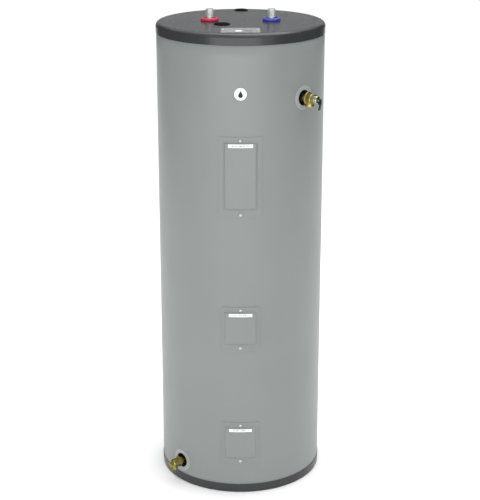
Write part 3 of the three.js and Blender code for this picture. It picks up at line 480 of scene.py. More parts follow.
FINISHES = {
    "jacket_paint": paint("jacket_paint", (0.196, 0.214, 0.210), (0.190, 0.207, 0.203), 0.38, 0.25, 0.008),
    "dark_paint": paint("dark_paint", (0.032, 0.034, 0.036), (0.028, 0.030, 0.032), 0.24, 0.12, 0.004,
                        Specular_IOR_Level=0.38),
    "trim_plastic": plastic("trim_plastic", (0.29, 0.31, 0.305), (0.26, 0.28, 0.275), 0.3, 0.006),
    "zinc": bright_metal("zinc", (0.60, 0.64, 0.64), (0.44, 0.47, 0.44), 0.26, (1, 1, 1)),
    "brass": bright_metal("brass", (0.41, 0.34, 0.12), (0.19, 0.17, 0.05), 0.24, (1, 1, 1)),
    "element_steel": bright_metal("element_steel", (0.34, 0.35, 0.35), (0.22, 0.21, 0.20), 0.32, (1, 1, 4)),
    "tank_steel": rough_steel("tank_steel", (0.05, 0.05, 0.055), (0.09, 0.09, 0.09), 0.5, 0.6),
    "magnesium": rough_steel("magnesium", (0.50, 0.50, 0.49), (0.62, 0.62, 0.60), 0.45, 0.9),
    "foam": foam_finish(),
    "fibre": fibre_finish(),
    "black_plastic": plastic("black_plastic", (0.008, 0.008, 0.008), (0.018, 0.018, 0.018), 0.45, 0.03,
                             Specular_IOR_Level=0.3),
    "pale_plastic": plastic("pale_plastic", (0.82, 0.83, 0.82), (0.74, 0.74, 0.71), 0.34, 0.012),
    "red_plastic": plastic("red_plastic", (0.45, 0.03, 0.07), (0.38, 0.026, 0.06), 0.2, 0.004),
    "blue_plastic": plastic("blue_plastic", (0.06, 0.06, 0.38), (0.045, 0.045, 0.30), 0.2, 0.004),
    "rubber": plastic("rubber", (0.012, 0.011, 0.011), (0.022, 0.021, 0.02), 0.8, 0.05),
    "black_wire": plastic("black_wire", (0.014, 0.014, 0.015), (0.03, 0.03, 0.03), 0.4, 0.008),
    "red_wire": plastic("red_wire", (0.42, 0.02, 0.02), (0.32, 0.02, 0.02), 0.4, 0.008),
    "yellow_wire": plastic("yellow_wire", (0.62, 0.43, 0.03), (0.5, 0.33, 0.03), 0.4, 0.008),
}

CAP_BLACK = plastic("cap_black", (0.003, 0.003, 0.003), (0.005, 0.005, 0.005), 0.7, 0.02,
                    Specular_IOR_Level=0.03)
PLATE_ZINC = bright_metal("plate_zinc", (0.46, 0.47, 0.48), (0.37, 0.38, 0.37), 0.32, (1, 1, 1))
PIPE_ZINC = bright_metal("pipe_zinc", (0.78, 0.83, 0.83), (0.62, 0.66, 0.64), 0.40, (1, 1, 1))
BONNET_ZINC = bright_metal("bonnet_zinc", (0.40, 0.42, 0.30), (0.24, 0.25, 0.14), 0.28, (1, 1, 1))

for node in frame["nodes"].values():
    slot_name = node.material_slots[0].material.name
    node.data.materials[0] = FINISHES[slot_name]


# Bevel widths in millimetres of the controls, which keep the frame's shapes.
SOFT_EDGED = {
    "upper_thermostat": 1.2, "lower_thermostat": 1.2, "high_limit_switch": 1.2,
    "upper_element": 0.7, "lower_element": 0.7, "upper_dial": 0.4, "lower_dial": 0.4, "reset_button": 0.4,
    "upper_thermostat_bracket": 0.4, "lower_thermostat_bracket": 0.4, "junction_box": 0.3,
    "upper_element_gasket": 0.4, "lower_element_gasket": 0.4,
}

for node_name, width in SOFT_EDGED.items():
    soft = frame["nodes"][node_name].modifiers.new("soft edges", "BEVEL")
    soft.width = width * MM
    soft.segments = 2
    soft.angle_limit = radians(50)


# ------------------------------------------------------------------ camera

CAMERA_PLACE = (0.0, -4.517, 2.267)
CAMERA_PITCH = 18.13
LENS = 98.8
SIDE_SHIFT = -0.001

camera_data = bpy.data.cameras.new("camera")
camera_data.lens = LENS
camera_data.shift_x = SIDE_SHIFT
camera = bpy.data.objects.new("camera", camera_data)
camera.location = CAMERA_PLACE
camera.rotation_euler = (radians(90 - CAMERA_PITCH), 0, 0)
bpy.context.scene.collection.objects.link(camera)
bpy.context.scene.camera = camera


# ------------------------------------------------------------------ jacket

LAP_RISE = 0.7 * MM


def around(x, height, radius):
    """Points on a cylinder: x is measured along the chord from the front, so the angle is its arcsine."""
    return np.stack([x, -np.sqrt(radius ** 2 - x ** 2), height], axis=-1)


def hole_marks(spot, hole, rim):
    """Grid lines through a round hole, across its edge and out to where the grid is square again."""
    inside = hole * np.linspace(-1, 1, 13)
    between = (hole + rim) / 2
    return np.concatenate([inside, [-rim, -between, between, rim]]) + spot


def round_hole(angle, height, spot, hole, rim):
    """Bends a grid's squares into circles at a hole, easing back to squares at its rim.

    The last value says which points lie inside the hole.
    """
    across = JACKET_RADIUS * np.sin(angle - spot[0])
    up = height - spot[1]
    behind = np.cos(angle - spot[0]) < 0
    square = np.maximum(np.abs(across), np.abs(up))
    far = np.maximum(np.hypot(across, up), WELD)
    share = np.clip((rim - square) / (rim - hole), 0, 1)
    share[behind] = 0
    scale = 1 + share * (square / far - 1)
    bent = np.arcsin(np.clip(across * scale / JACKET_RADIUS, -1, 1)) + spot[0]
    inside = (square < hole) & ~behind
    return np.where(share > 0, bent, angle), np.where(share > 0, up * scale + spot[1], height), inside


def jacket_pockets():
    """Lowest and highest edge of each access opening."""
    pads = [span(f"{name}_insulation_pad") for name in ACCESS]
    return [(low[2] - POCKET_GAP, high[2] + POCKET_GAP) for low, high in pads]


def jacket_holes():
    """Place, radius and rim of each round hole: two valves, then six screws."""
    screws = [f"{name}_cover_{end}_screw" for name in ACCESS for end in ("lower", "upper")]
    holes = [(spot, SIDE_HOLE, 1.5 * SIDE_HOLE) for spot in (RELIEF, DRAIN)]
    return holes + [((0.0, middle(screw)[2]), SCREW_HOLE, 3 * SCREW_HOLE) for screw in screws]


def jacket_surface():
    """The jacket's sheet on a grid of angles and heights, with the seam's lap raised at the back."""
    pockets, holes = jacket_pockets(), jacket_holes()
    low, high = span("jacket")[0][2], span("jacket")[1][2]
    pocket_angle = np.arcsin(POCKET_HALF / JACKET_RADIUS)
    lap = radians(1.6)
    lap_foot = 1.15 * lap
    angle_marks = [-pocket_angle, pocket_angle, -pi + lap, -pi + lap_foot, pi - lap_foot, pi - lap]
    height_marks = [height for pocket in pockets for height in pocket]
    for (spot_angle, spot_height), hole, rim in holes:
        angle_marks += [*(np.arcsin(hole_marks(0, hole, rim) / JACKET_RADIUS) + spot_angle)]
        height_marks += [*hole_marks(spot_height, hole, rim)]
    angles = lines(-pi, pi, radians(2), angle_marks)
    heights = lines(low, high, 60 * MM, height_marks)
    height, angle = np.meshgrid(heights, angles, indexing="ij")
    mid_angle = (angles[1:] + angles[:-1]) / 2
    mid_height = (heights[1:] + heights[:-1]) / 2
    cell_height, cell_angle = np.meshgrid(mid_height, mid_angle, indexing="ij")
    keep = np.ones(cell_angle.shape, bool)
    for bottom, top in pockets:
        keep &= ~((np.abs(cell_angle) < pocket_angle) & (cell_height > bottom) & (cell_height < top))
    for spot, hole, rim in holes:
        keep &= ~round_hole(cell_angle, cell_height, spot, hole, rim)[2]
        angle, height, _ = round_hole(angle, height, spot, hole, rim)
    raised = LAP_RISE * smooth((np.abs(angle) - (pi - lap_foot)) / (0.15 * lap))
    radius = JACKET_RADIUS + raised
    points = np.stack([radius * np.sin(angle), -radius * np.cos(angle), height], axis=-1)
    return patch(points, loop=False, keep=keep)


piece("heater_jacket", "heater", "jacket_paint", jacket_surface(), ["jacket"], closed=False, wall=0.8 * MM)


# ------------------------------------------------------------------ base pan and top cover

def base_shape():
    """The pan's section: a floor, a soft bottom corner and a wall with a rounded rim."""
    radius, top = millimetres(COVER_RADIUS), millimetres(BASE_TOP)
    corner, floor, sheet = 3.5, 3, 1.1
    outside = [(0, 0), (radius - corner, 0), (radius, corner), (radius, top)]
    inside = [(radius - sheet, top), (radius - sheet, floor), (0, floor)]
    return turned(eased(outside + inside, 1.2), ROUND)


def cover_section():
    """The top cover's section: flat face, round shoulder, skirt with a rolled rim, then back inside."""
    radius, face, edge = millimetres(COVER_RADIUS), millimetres(COVER_FACE), millimetres(COVER_EDGE)
    shoulder, sheet = 14.0, 1.2
    flat = radius - shoulder - 6
    turn = np.linspace(pi / 2, 0, 19)
    arcs = []
    for bend in (shoulder, shoulder - sheet):
        x = radius - shoulder + bend * np.cos(turn)
        y = face - shoulder + bend * np.sin(turn)
        arcs.append(np.stack([x, y], axis=1))
    rim = [(radius, edge + 0.5), (radius - 0.4, edge), (radius - 0.8, edge), (radius - 1.2, edge + 0.5)]
    crown = [(0, face), (120, face), (flat, face)]
    below = [(flat, face - sheet), (0, face - sheet)]
    return np.vstack([crown, arcs[0], rim, arcs[1][::-1], below]) * MM


def cut_away(made, cutters):
    """Takes the cutters' shapes out of a solid, for good."""
    for cutter in cutters:
        hole = made.modifiers.new("hole", "BOOLEAN")
        hole.operation = "DIFFERENCE"
        hole.solver = "EXACT"
        hole.object = cutter
    graph = bpy.context.evaluated_depsgraph_get()
    mesh = bpy.data.meshes.new_from_object(made.evaluated_get(graph))
    made.modifiers.clear()
    mesh.shade_smooth()
    mesh.set_sharp_from_angle(angle=radians(38))
    made.data = mesh
    for cutter in cutters:
        bpy.data.objects.remove(cutter)


def top_holes():
    """Solids of the top cover's openings: pipes, anode, foam plug, wiring box and its two screws."""
    through = [(0, -8), (1, -8), (1, 8), (0, 8)]
    radii = {"hot_nipple": 15, "cold_nipple": 15, "anode_access_cap": 20.5, "foam_fill_plug": 18.5,
             "junction_cover_screw_left": 2.4, "junction_cover_screw_right": 2.4}
    outlines = {node_name: circle(radius, 48) for node_name, radius in radii.items()}
    outlines["junction_box"] = rectangle(48, 37, 2)
    cutters = []
    for node_name, outline in outlines.items():
        x, y, _ = middle(node_name)
        shape = placed(layered(outline, through), top_place(x, y, COVER_FACE))
        cutters.append(make_object("hole", shape))
    return cutters


piece("heater_base_pan", "heater", "dark_paint", base_shape(), ["base_pan"])
top = piece("heater_top_cover", "heater", "dark_paint", turned(cover_section(), ROUND), ["top_cover"])
cut_away(top, top_holes())


# ------------------------------------------------------------------ access covers

COVER_LIFT = 1.5 * MM
FACE_RISE = 6.4 * MM
PRESS_SLOPE = 8 * MM
TOP_SLOPE = 4.5 * MM
FLANGE_CORNER = 4 * MM


def rise(x, height, panel_half, low, high):
    """Height of the pressed panel: a soft minimum of its side, bottom and top slopes."""
    side = (panel_half - np.abs(x)) / PRESS_SLOPE
    bottom = (height - low) / PRESS_SLOPE
    ceiling = (high - height) / TOP_SLOPE
    near = np.stack([np.clip(part, -1, 2) for part in (side, bottom, ceiling)])
    sharpness = 9.0
    blended = -np.log(np.exp(-sharpness * near).sum(axis=0)) / sharpness
    return FACE_RISE * smooth(blended * 1.05)


def access_panel(name, panel_half, margin_low, margin_high):
    """Outer face of an access cover: a flange with round corners and a panel pressed out of it."""
    box_low, box_high = span(f"{name}_access_cover")
    half = box_high[0]
    low, high = box_low[2], box_high[2]
    panel_low, panel_high = low + margin_low, high - margin_high
    slopes = np.linspace(-0.1, 1.2, 14)
    x_marks = np.concatenate([side * (panel_half - slopes * PRESS_SLOPE) for side in (-1, 1)])
    z_marks = np.concatenate([panel_low + slopes * PRESS_SLOPE, panel_high - slopes * TOP_SLOPE])
    edge = np.array([0, 0.3, 0.8, 1.6, 2.6, 4]) * MM
    columns = lines(-half, half, 9 * MM, [*x_marks, *(edge[1:] - half), *(half - edge[1:])]) / half
    rows = lines(low, high, 12 * MM, [*z_marks, *(low + edge[1:]), *(high - edge[1:])])
    from_end = np.minimum(rows - low, high - rows)
    short = np.clip(FLANGE_CORNER - from_end, 0, FLANGE_CORNER)
    inset = FLANGE_CORNER - np.sqrt(FLANGE_CORNER ** 2 - short ** 2)
    x = columns[None] * (half - inset)[:, None]
    height = np.broadcast_to(rows[:, None], x.shape)
    radius = JACKET_RADIUS + COVER_LIFT + rise(x, height, panel_half, panel_low, panel_high)
    return patch(around(x, height, radius), loop=False)


def label_strip(name, half, low, high):
    """A paper strip with an unreadable line of print, bent over the raised panel near its top."""
    x, height = np.meshgrid(np.linspace(-half, half, 33), np.linspace(low, high, 5))
    radius = JACKET_RADIUS + COVER_LIFT + FACE_RISE + 0.14 * MM
    shape = patch(around(x, height, radius * np.ones_like(x)), loop=False)
    return piece(f"{name}_cover_label", f"{name}_cover", "pale_plastic", shape, closed=False, wall=0.12 * MM,
                 look=label_paper((low + high) / 2))


def cross_screw(head, depth):
    """A pan head with a cross cut in it: the dome d (1 - 0.35 r^4), less a cross of two soft-edged slots."""
    sides = 48
    reach = 0.62
    radius = np.concatenate([np.linspace(0, reach, 12), np.linspace(0.68, 1, 8)])[:, None]
    angle = 2 * pi * np.arange(sides) / sides
    x, y = radius * np.cos(angle), radius * np.sin(angle)
    nearest = np.minimum(np.abs(x), np.abs(y))
    cross = smooth((0.17 - nearest) / 0.06) * smooth((reach - radius) / 0.1)
    height = depth * (1 - 0.35 * radius ** 4) - 0.55 * depth * cross
    dome = np.stack([x * head, y * head, height * np.ones_like(x)], axis=-1)
    skirt = np.stack([x[-1:] * head, y[-1:] * head, np.zeros_like(x[-1:])], axis=-1)
    neck = skirt * [0.42, 0.42, 1]
    tip = neck - np.array([0, 0, 9 * MM])
    point = tip * [0, 0, 1] - np.array([0, 0, 1.5 * MM])
    return patch(np.concatenate([dome, skirt, neck, tip, point]))


PANEL_HALF = 55.5 * MM

# In millimetres: the panel's margins below and above; the label's half width, foot and top.
COVER_PANELS = {
    "upper": {"margin": (26, 17), "label": (40, 1221, 1232.6)},
    "middle": {"margin": (23, 17), "label": (39, 648, 659)},
    "lower": {"margin": (23, 17), "label": (38.7, 231, 241.5)},
}

for name, data in COVER_PANELS.items():
    margin_low, margin_high = data["margin"]
    shape = access_panel(name, PANEL_HALF, margin_low * MM, margin_high * MM)
    piece(f"{name}_cover_sheet", f"{name}_cover", "jacket_paint", shape, [f"{name}_access_cover"],
          closed=False, wall=1.0 * MM)
    label_strip(name, *(value * MM for value in data["label"]))
    for end in ("lower", "upper"):
        node_name = f"{name}_cover_{end}_screw"
        seat = JACKET_RADIUS + 1.6 * MM
        seated = placed(cross_screw(SCREW_HEAD, 3 * MM), top_place(0, 0, seat))
        shape = placed(seated, wall_place(0, middle(node_name)[2]))
        piece(f"{name}_{end}_fixing", f"{name}_cover", "zinc", shape, [node_name])


# ------------------------------------------------------------------ round badge

def badge_shape():
    """A thin disc with a raised rim round a shallow dish."""
    low = millimetres(JACKET_RADIUS) + 0.3
    section = [(0, low), (20, low), (20, low + 1.7), (18.9, low + 2.5), (17.2, low + 2.1), (0, low + 2.1)]
    return turned(eased(section, 0.6), 96)


def drop_shape(scale):
    """A water drop's outline: x = sin a sin^1.6(a/2), y = cos a, seen from the tip at a = 0."""
    turn = 2 * pi * np.arange(64) / 64
    x = np.sin(turn) * np.abs(np.sin(turn / 2)) ** 1.6
    return scale * MM * np.stack([x * 0.92, np.cos(turn)], axis=1)


badge_height = middle("round_badge")[2]
on_badge = wall_place(0, badge_height)
piece("badge_disc", "heater", "pale_plastic", placed(badge_shape(), on_badge), ["round_badge"])
badge_face = millimetres(JACKET_RADIUS) + 2.4
mark = layered(drop_shape(11.5), [(0, badge_face - 0.3), (1, badge_face - 0.3), (1, badge_face + 0.1),
                                  (0.97, badge_face + 0.2), (0, badge_face + 0.2)])
piece("badge_drop", "heater", "black_plastic", placed(mark, on_badge))


# ------------------------------------------------------------------ pipe nipples and their rings

def thread(radius, depth, pitch, low, high, sides=48):
    """A screw thread: r = R - d |2 frac(h / pitch - a / 2pi) - 1|, faded out at both ends."""
    rows = round((high - low) / pitch * 8)
    height = np.linspace(low, high, rows + 1)[:, None]
    angle = 2 * pi * np.arange(sides + 1)[None] / sides
    wave = np.abs(2 * ((height / pitch - angle / (2 * pi)) % 1) - 1)
    ends = np.minimum(smooth((height - low) / pitch), smooth((high - height) / pitch))
    ring = radius - depth * (1 - ends * (1 - wave))
    return np.stack([ring * np.cos(angle), ring * np.sin(angle), height + 0 * angle], axis=-1)


def nipple_shape(low, high):
    """A pipe end: its thread outside, a rounded mouth and a plastic-lined bore inside."""
    radius, bore = PIPE_RADIUS * MM, 10.45 * MM
    rows = thread(radius, 0.9 * MM, 1.814 * MM, high - 24 * MM, high - 0.6 * MM)
    plain = np.array([[radius, low], [radius, high - 25 * MM]])
    lip = [[radius - 1.2 * MM, high], [bore + 0.4 * MM, high], [bore, high - 0.5 * MM]]
    mouth = np.array([*lip, [bore, low], [radius, low]])
    return patch(np.concatenate([ring_rows(plain), rows, ring_rows(mouth)]), loop=False)


def ring_shape():
    """The coloured ring: a short drum with a round shoulder and a recess next to the pipe."""
    base = millimetres(COVER_FACE) + 0.3
    ring_top = base + 10
    outside = [(13.9, base), (30, base), (30, base + 5.5), (28, base + 9.2), (24.5, ring_top)]
    recess = [(20.5, ring_top), (20.3, base + 3), (13.9, base + 3)]
    return turned(eased(outside + recess, 1.4, 7, closed=True), 96)


for side, colour in (("hot", "red_plastic"), ("cold", "blue_plastic")):
    x, y, _ = middle(f"{side}_nipple")
    low, high = span(f"{side}_nipple")
    piece(f"{side}_pipe", "heater", "zinc", placed(nipple_shape(low[2], high[2]), top_place(x, y)),
          [f"{side}_nipple"], look=PIPE_ZINC)
    piece(f"{side}_colour_ring", "heater", colour, placed(ring_shape(), top_place(x, y)), [f"{side}_ring"])


# ------------------------------------------------------------------ caps and the wiring cover plate

def cap_shape(head, spigot):
    """A push-in cap: a spigot below the cover's face and a low head with a shallow pressed ring."""
    base = millimetres(COVER_FACE) + 0.3
    sides = [(0, base - 9), (spigot, base - 9), (spigot, base), (head, base), (head, base + 1.5)]
    face = [(head - 2.2, base + 2.8), (head * 0.62, base + 2.8), (head * 0.58, base + 2.2), (0, base + 2.2)]
    return turned(eased(sides + face, 0.9), 80)


for node_name, head, spigot in (("anode_access_cap", 26.5, 20), ("foam_fill_plug", 23.5, 18)):
    x, y, _ = middle(node_name)
    piece(f"{node_name}_cover", "heater", "black_plastic", placed(cap_shape(head, spigot), top_place(x, y)),
          [node_name], look=CAP_BLACK)

plate_x, plate_y, _ = middle("junction_box_cover")
plate_low, plate_high = span("junction_box_cover")
on_plate = top_place(plate_x, plate_y)
plate = slab(rectangle(62, 43, 4), millimetres(plate_low[2]), millimetres(plate_high[2]), 0.35)
piece("wiring_cover_plate", "junction_cover", "zinc", placed(plate, on_plate), ["junction_box_cover"],
      look=PLATE_ZINC)
plate_top = millimetres(plate_high[2])
sticker_y = plate_y - 16 * MM
STICKERS = (("label", "pale_plastic", (10, 11), -6), ("mark", "black_plastic", (13, 4), 25))
for kind, slot_name, halves, x in STICKERS:
    sticker = slab(rectangle(*halves, 1), plate_top, plate_top + 0.25, 0.08)
    piece(f"wiring_plate_{kind}", "junction_cover", slot_name, placed(sticker, top_place(x * MM, sticker_y)))
for side in ("left", "right"):
    node_name = f"junction_cover_screw_{side}"
    x, y, _ = middle(node_name)
    screw = placed(cross_screw(SCREW_HEAD, 2.6 * MM), top_place(x, y, plate_high[2] + 0.1 * MM))
    piece(f"wiring_screw_{side}", "junction_cover", "zinc", screw, [node_name])


# ------------------------------------------------------------------ rings and sleeves at the side holes

def side_ring(angle, height):
    """A trim ring bent to the jacket: rings of radius s round the hole, carried on the cylinder."""
    hole, rim = SIDE_HOLE + 0.3 * MM, 39.3 * MM
    share = np.array([0, 0.02, 0.06, 0.3, 0.55, 0.8, 0.94, 0.985, 1])[:, None]
    lift = np.array([0.2, 0.7, 1.0, 0.75, 0.7, 0.75, 1.0, 0.6, 0.15])[:, None] * MM
    turn = 2 * pi * np.arange(96) / 96
    spread = hole + (rim - hole) * share
    across, up = spread * np.cos(turn), spread * np.sin(turn)
    out = np.sqrt((JACKET_RADIUS + 0.35 * MM + lift) ** 2 - across ** 2)
    outer = np.stack([across, up, out], axis=-1)
    inner = outer - np.array([0, 0, 0.3 * MM])
    closed = np.concatenate([outer, inner[::-1], outer[:1]])
    return placed(patch(closed), wall_place(angle, height))


def hole_shade_sleeve(angle, height):
    """A dark rubber sleeve that lines a valve's hole through the foam like a grommet; its darkness is also
    painted shade for the inside of the hole.
    """
    section = [(23.4, 216), (24.6, 216), (24.6, 276.4), (23.4, 276.4)]
    return placed(turned(eased(section, 0.4, closed=True), 64), wall_place(angle, height))


for name, spot in (("tp_valve", RELIEF), ("drain_valve", DRAIN)):
    piece(f"{name}_trim_ring", "heater", "trim_plastic", side_ring(*spot), [f"{name}_escutcheon"])
    # A dark sleeve in each hole: a liner, and painted shade for the hole's inside.
    piece(f"{name}_hole_shade_sleeve", "heater", "rubber", hole_shade_sleeve(*spot))


# ------------------------------------------------------------------ relief valve

PIVOT = millimetres(PIVOT_OUT)
RELIEF_OUT = 302.5


def downward(shape, out):
    """A shape along Z laid to point down the wall at a distance from the heater's axis."""
    vertices, faces = shape
    x, y, z = vertices.T
    return np.stack([x, -z, y + out * MM], axis=-1), faces


def crosswise(shape):
    """A shape along Z laid along the lever's pivot."""
    vertices, faces = shape
    x, y, z = vertices.T
    return np.stack([z, y, x + PIVOT_OUT], axis=-1), faces


def shank(end):
    """A valve's pipe end, from the tank's spud out to its body."""
    section = [(0, SHANK_BACK), (PIPE_RADIUS, SHANK_BACK), (PIPE_RADIUS, end), (0, end)]
    return turned(eased(section, 1.0), 64)


def relief_body():
    """Cast body: pipe shank, round collar, barrel with rings, and the outlet boss pointing down."""
    collar = turned(eased([(0, 292), (19.4, 292), (21, 293.5), (21, 297.5), (19.4, 299), (0, 299)], 0.7), 80)
    section = [(0, 298), (16, 298), (17, 300), (17, 313.5), (15.6, 315.4), (15.6, 318), (0, 318)]
    barrel = turned(eased(section, 0.9), 80)
    boss = [(9.6, 4), (14.4, 4), (14.4, 14), (15.2, 16), (15.2, 24.8), (14.2, 26), (10.4, 26), (9.6, 25)]
    outlet = downward(turned(eased(boss, 0.6, closed=True), 64), RELIEF_OUT)
    return together(shank(293), collar, barrel, outlet)


def relief_bonnet():
    """Spring housing: a hexagon, a drum with shallow ribs, and a domed end with a hole for the stem."""
    back = 318.3
    steps = [(3.2, 0), (12.6, 0), (12.6, 7), (13, 7.6), (13, 9.6), (11.6, 10.4), (11.6, 12.2), (13, 13)]
    steps += [(13, 15), (10.4, 18.4), (6, 19.2), (3.2, 19.2)]
    drum = [(radius, back + out) for radius, out in steps]
    return together(turned(eased(drum, 0.6, closed=True), 72), slab(hexagon(30, 1.2), back, back + 6, 0.5))


def relief_stem():
    """Stem with its probe, and the eye that the lever's pin goes through."""
    probe = [(0, 110), (4, 110), (4, 194)]
    rod = [(2.4, 195), (2.4, PIVOT - 2), (0, PIVOT - 2)]
    shaft = turned(eased(probe + rod, 0.6), 32)
    eye = turned(eased([(1.75, -2.4), (2.9, -2.4), (2.9, 2.4), (1.75, 2.4)], 0.25, closed=True), 32)
    seat = turned(eased([(0, 289), (6.6, 289), (6.6, 292), (0, 292)], 0.3), 32)
    return together(shaft, crosswise(eye), seat)


def relief_spring():
    """A coil: the centre line turns at 5.2 mm round the stem and climbs 4 mm each turn."""
    turn = 2 * pi * np.linspace(0, 5, 161)
    path = np.stack([5.2 * np.cos(turn), 5.2 * np.sin(turn), 305 + 4 * turn / (2 * pi)], axis=1) * MM
    return swept(path, circle(0.9, 10), np.array([0, 0, 1.0]))


def lever_strip():
    """The lever's strip: straight down from the pivot, then leaning inwards by its drop times a slope."""
    down = np.array([3.6, 0, -6, -9.5, -11, -12, -13.5, -17, -21, -25, -29, -31, -31.8])
    lean = 0.231 * np.maximum(0, -11.5 - down)
    path = np.stack([0 * down, down, PIVOT + 4.05 - lean], axis=1) * MM
    section = rectangle(5.5, 0.75, 0.6)
    return swept(path, section, np.array([1.0, 0, 0]))


def lever_cheek(side):
    """A side plate of the lever with round ends, standing on the strip's edge."""
    outline = polygon([(-13, -3.4), (3.6, -3.4), (3.6, 4.5), (-13, 4.5)], 2.6)
    vertices, faces = slab(outline, -0.8, 0.8, 0.25)
    x, y, z = vertices.T
    return np.stack([z + side * 3.8 * MM, x, y + PIVOT_OUT], axis=-1), faces


def lever_pin():
    """A rivet through the cheeks and the eye, with a low head at each end."""
    half = [(0, 6.2), (1.9, 6.2), (2.6, 5.6), (2.6, 4.9), (1.45, 4.9)]
    section = [(radius, -out) for radius, out in half] + half[::-1]
    return crosswise(turned(eased(section, 0.3), 32))


on_relief = wall_place(*RELIEF)
piece("relief_body", "heater", "brass", placed(relief_body(), on_relief), ["tp_valve_body"])
piece("relief_bonnet", "heater", "zinc", placed(relief_bonnet(), on_relief), ["tp_valve_bonnet"],
      look=BONNET_ZINC)
piece("relief_stem", "tp_stem", "zinc", placed(relief_stem(), on_relief), ["tp_valve_stem"])
piece("relief_spring", "tp_stem", "element_steel", placed(relief_spring(), on_relief), ["tp_valve_spring"])
lever = together(lever_strip(), lever_cheek(-1), lever_cheek(1))
piece("relief_lever", "tp_lever", "black_plastic", placed(lever, on_relief), ["tp_valve_lever"])
piece("relief_lever_pin", "tp_lever", "zinc", placed(lever_pin(), on_relief), ["tp_valve_lever_pin"])


# ------------------------------------------------------------------ drain valve

DRAIN_OUT = 313.5
MOUTH = millimetres(DRAIN[1] - span("drain_valve_body")[0][2])


def hose_thread():
    """The nozzle: a coarse hose thread at its mouth, a plain neck above it and the bore inside."""
    rows = thread(13.4 * MM, 1.2 * MM, 2.2 * MM, (MOUTH - 8.5) * MM, (MOUTH - 0.8) * MM)
    neck = np.array([[11.6, 2], [11.6, MOUTH - 9]]) * MM
    lip = [[11.9, MOUTH - 0.1], [11.4, MOUTH], [8.3, MOUTH], [8, MOUTH - 0.4]]
    mouth = np.array([*lip, [8, 2], [11.6, 2]]) * MM
    nozzle = patch(np.concatenate([ring_rows(neck), rows, ring_rows(mouth)]), loop=False)
    return downward(nozzle, DRAIN_OUT)


def drain_body():
    """Cast body: shank, wrench hexagon, barrel, stem nut and the nozzle pointing down."""
    barrel = turned(eased([(0, 296), (13.6, 296), (14.5, 298), (14.5, 320), (12.6, 322), (0, 322)], 0.9), 80)
    nut = slab(hexagon(21, 1.0), 321, 326, 0.5)
    return together(shank(292), slab(hexagon(33, 1.4), 288, 297, 0.7), barrel, nut, hose_thread())


def drain_stem():
    """The stem's slotted end: a short drum whose face drops by a soft-edged slot across it."""
    back, front, radius = 326.3, 331.8, 7.0
    sides = 64
    share = np.concatenate([np.linspace(0, 0.9, 14), [0.96, 1.0]])[:, None]
    angle = 2 * pi * np.arange(sides) / sides
    x, y = share * np.cos(angle), share * np.sin(angle)
    slot = smooth((0.24 - np.abs(x)) / 0.05)
    edge = 0.5 * smooth((share - 0.9) / 0.1)
    height = front - edge - 3.6 * slot
    face = np.stack([x * radius, y * radius, height], axis=-1)
    rim = face[-1:] * [1, 1, 0] + [0, 0, back]
    neck = np.array([[3.6, back], [3.6, 317.5], [0, 317.5]])
    lower = ring_rows(neck, sides)[:, :-1]
    return patch(np.concatenate([face, rim, lower]) * MM)


on_drain = wall_place(*DRAIN)
piece("drain_body", "heater", "brass", placed(drain_body(), on_drain), ["drain_valve_body"])
piece("drain_stem", "drain_stem", "brass", placed(drain_stem(), on_drain), ["drain_valve_stem"])


# ------------------------------------------------------------------ insulation pads

def wool_pad(name):
    """A pad of glass wool: a crowned block whose faces swell with slow waves."""
    low, high = span(f"{name}_insulation_pad")
    size = (high - low) / 2
    centre = (high + low) / 2
    outline = rectangle(size[0] / MM - 1.5, size[2] / MM - 1.5, 7)
    rim = np.sin(np.linspace(-pi / 2, pi / 2, 9))
    edge = 1 - 0.09 * (1 - np.sqrt(np.clip(1 - rim ** 2, 0, 1)))
    inner = np.linspace(0, 0.9, 16)
    scales = np.concatenate([inner, edge, inner[::-1]])
    depth = np.concatenate([-np.ones(16), rim, np.ones(16)])
    flat = outline[None] * scales[:, None, None]
    x, z = flat[..., 0], flat[..., 1]
    waves = 0.10 * np.sin(x / 0.013 + 1.3 * np.sin(z / 0.021)) + 0.08 * np.sin(z / 0.009 + x / 0.017)
    crown = 0.80 + waves + 0.08 * np.cos(x / size[0] * 1.5)
    y = -depth[:, None] * size[1] * np.where(np.abs(depth[:, None]) < 1, 0.9, crown)
    return patch(np.stack([x, y, z], axis=-1) + centre)


for name in ACCESS:
    piece(f"{name}_wool_pad", f"{name}_cover", "fibre", wool_pad(name), [f"{name}_insulation_pad"], sharp=80)


# ------------------------------------------------------------------ floor, world and lights

def stage_finish():
    """Matt white studio floor with the faintest mottling."""
    finish = Finish("studio_floor", 0.9)
    finish.set("Base Color", finish.mix(finish.noise(900, 2), (0.96, 0.96, 0.96), (0.975, 0.975, 0.975)))
    return finish.material


def studio_floor():
    """A wide level square just under the base."""
    half = 60.0
    x, y = np.meshgrid(np.linspace(-half, half, 9), np.linspace(-half, half, 9))
    floor = make_object("floor", patch(np.stack([x, y, 0 * x], axis=-1), loop=False), closed=False)
    floor.data.materials.append(stage_finish())


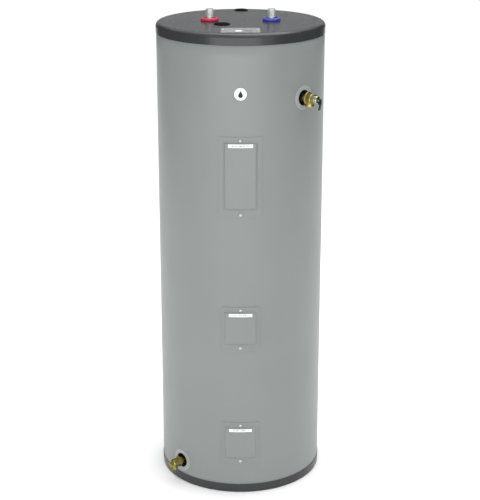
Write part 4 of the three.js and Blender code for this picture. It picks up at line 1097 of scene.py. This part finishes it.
def area_light(name, place, target, width, height, power):
    """A soft rectangular light that faces a target and isn't seen by the camera."""
    data = bpy.data.lights.new(name, "AREA")
    data.shape = "RECTANGLE"
    data.size, data.size_y = width, height
    data.energy = power
    lamp = bpy.data.objects.new(name, data)
    lamp.location = place
    aim = np.array(target, float) - np.array(place, float)
    lamp.rotation_euler = (atan2(np.hypot(aim[0], aim[1]), -aim[2]), 0, atan2(aim[0], -aim[1]) + pi)
    lamp.visible_camera = False
    bpy.context.scene.collection.objects.link(lamp)


def world_light(strength):
    """An even white surround."""
    world = bpy.data.worlds.new("studio")
    world.use_nodes = True
    background = world.node_tree.nodes["Background"]
    background.inputs["Color"].default_value = (1, 1, 1, 1)
    background.inputs["Strength"].default_value = strength
    bpy.context.scene.world = world


def reflected_card(name, corner, across, up, look):
    """A flat card from a corner along two edges that only reflections see."""
    u, v = np.meshgrid(np.linspace(0, 1, 5), np.linspace(0, 1, 5))
    points = np.array(corner) + u[..., None] * np.array(across) + v[..., None] * np.array(up)
    card = make_object(name, patch(points, loop=False), closed=False)
    card.data.materials.append(look)
    card.visible_camera = False
    card.visible_diffuse = False
    card.visible_shadow = False


def felt(name, dark, light):
    """Felt with a fine mottle."""
    finish = Finish(name, 1.0, Specular_IOR_Level=0.0)
    finish.set("Base Color", finish.mix(finish.noise(6, 3), dark, light))
    return finish.material


studio_floor()
world_light(1.05)
area_light("front_panel", (-0.6, -5.4, 0.9), (0, 0, 0.9), 7.0, 1.8, 86)
area_light("left_soft", (-4.6, -2.6, 1.9), (0, 0, 0.8), 2.2, 2.6, 22)
area_light("overhead", (0.6, 0.4, 4.6), (0, 0, 0.5), 4.0, 3.0, 110)
BLACK_FELT = felt("black_felt", (0.01, 0.01, 0.01), (0.02, 0.02, 0.02))
GREY_FELT = felt("grey_felt", (0.27, 0.27, 0.27), (0.31, 0.31, 0.31))
for side in (-1, 1):
    reflected_card(f"flag_{side}", (2.3 * side, -2.4, 0.6), (0, 4.8, 0), (0, 0, 2.8), BLACK_FELT)
    reflected_card(f"high_flag_{side}", (2.3 * side, 2.4, 0.8), (0, 2.1, 0), (0, 0, 2.6), BLACK_FELT)
reflected_card("back_card", (-4, 4.5, 0.9), (8, 0, 0), (0, 0, 3.95), GREY_FELT)
bpy.context.scene.view_settings.view_transform = "Standard"
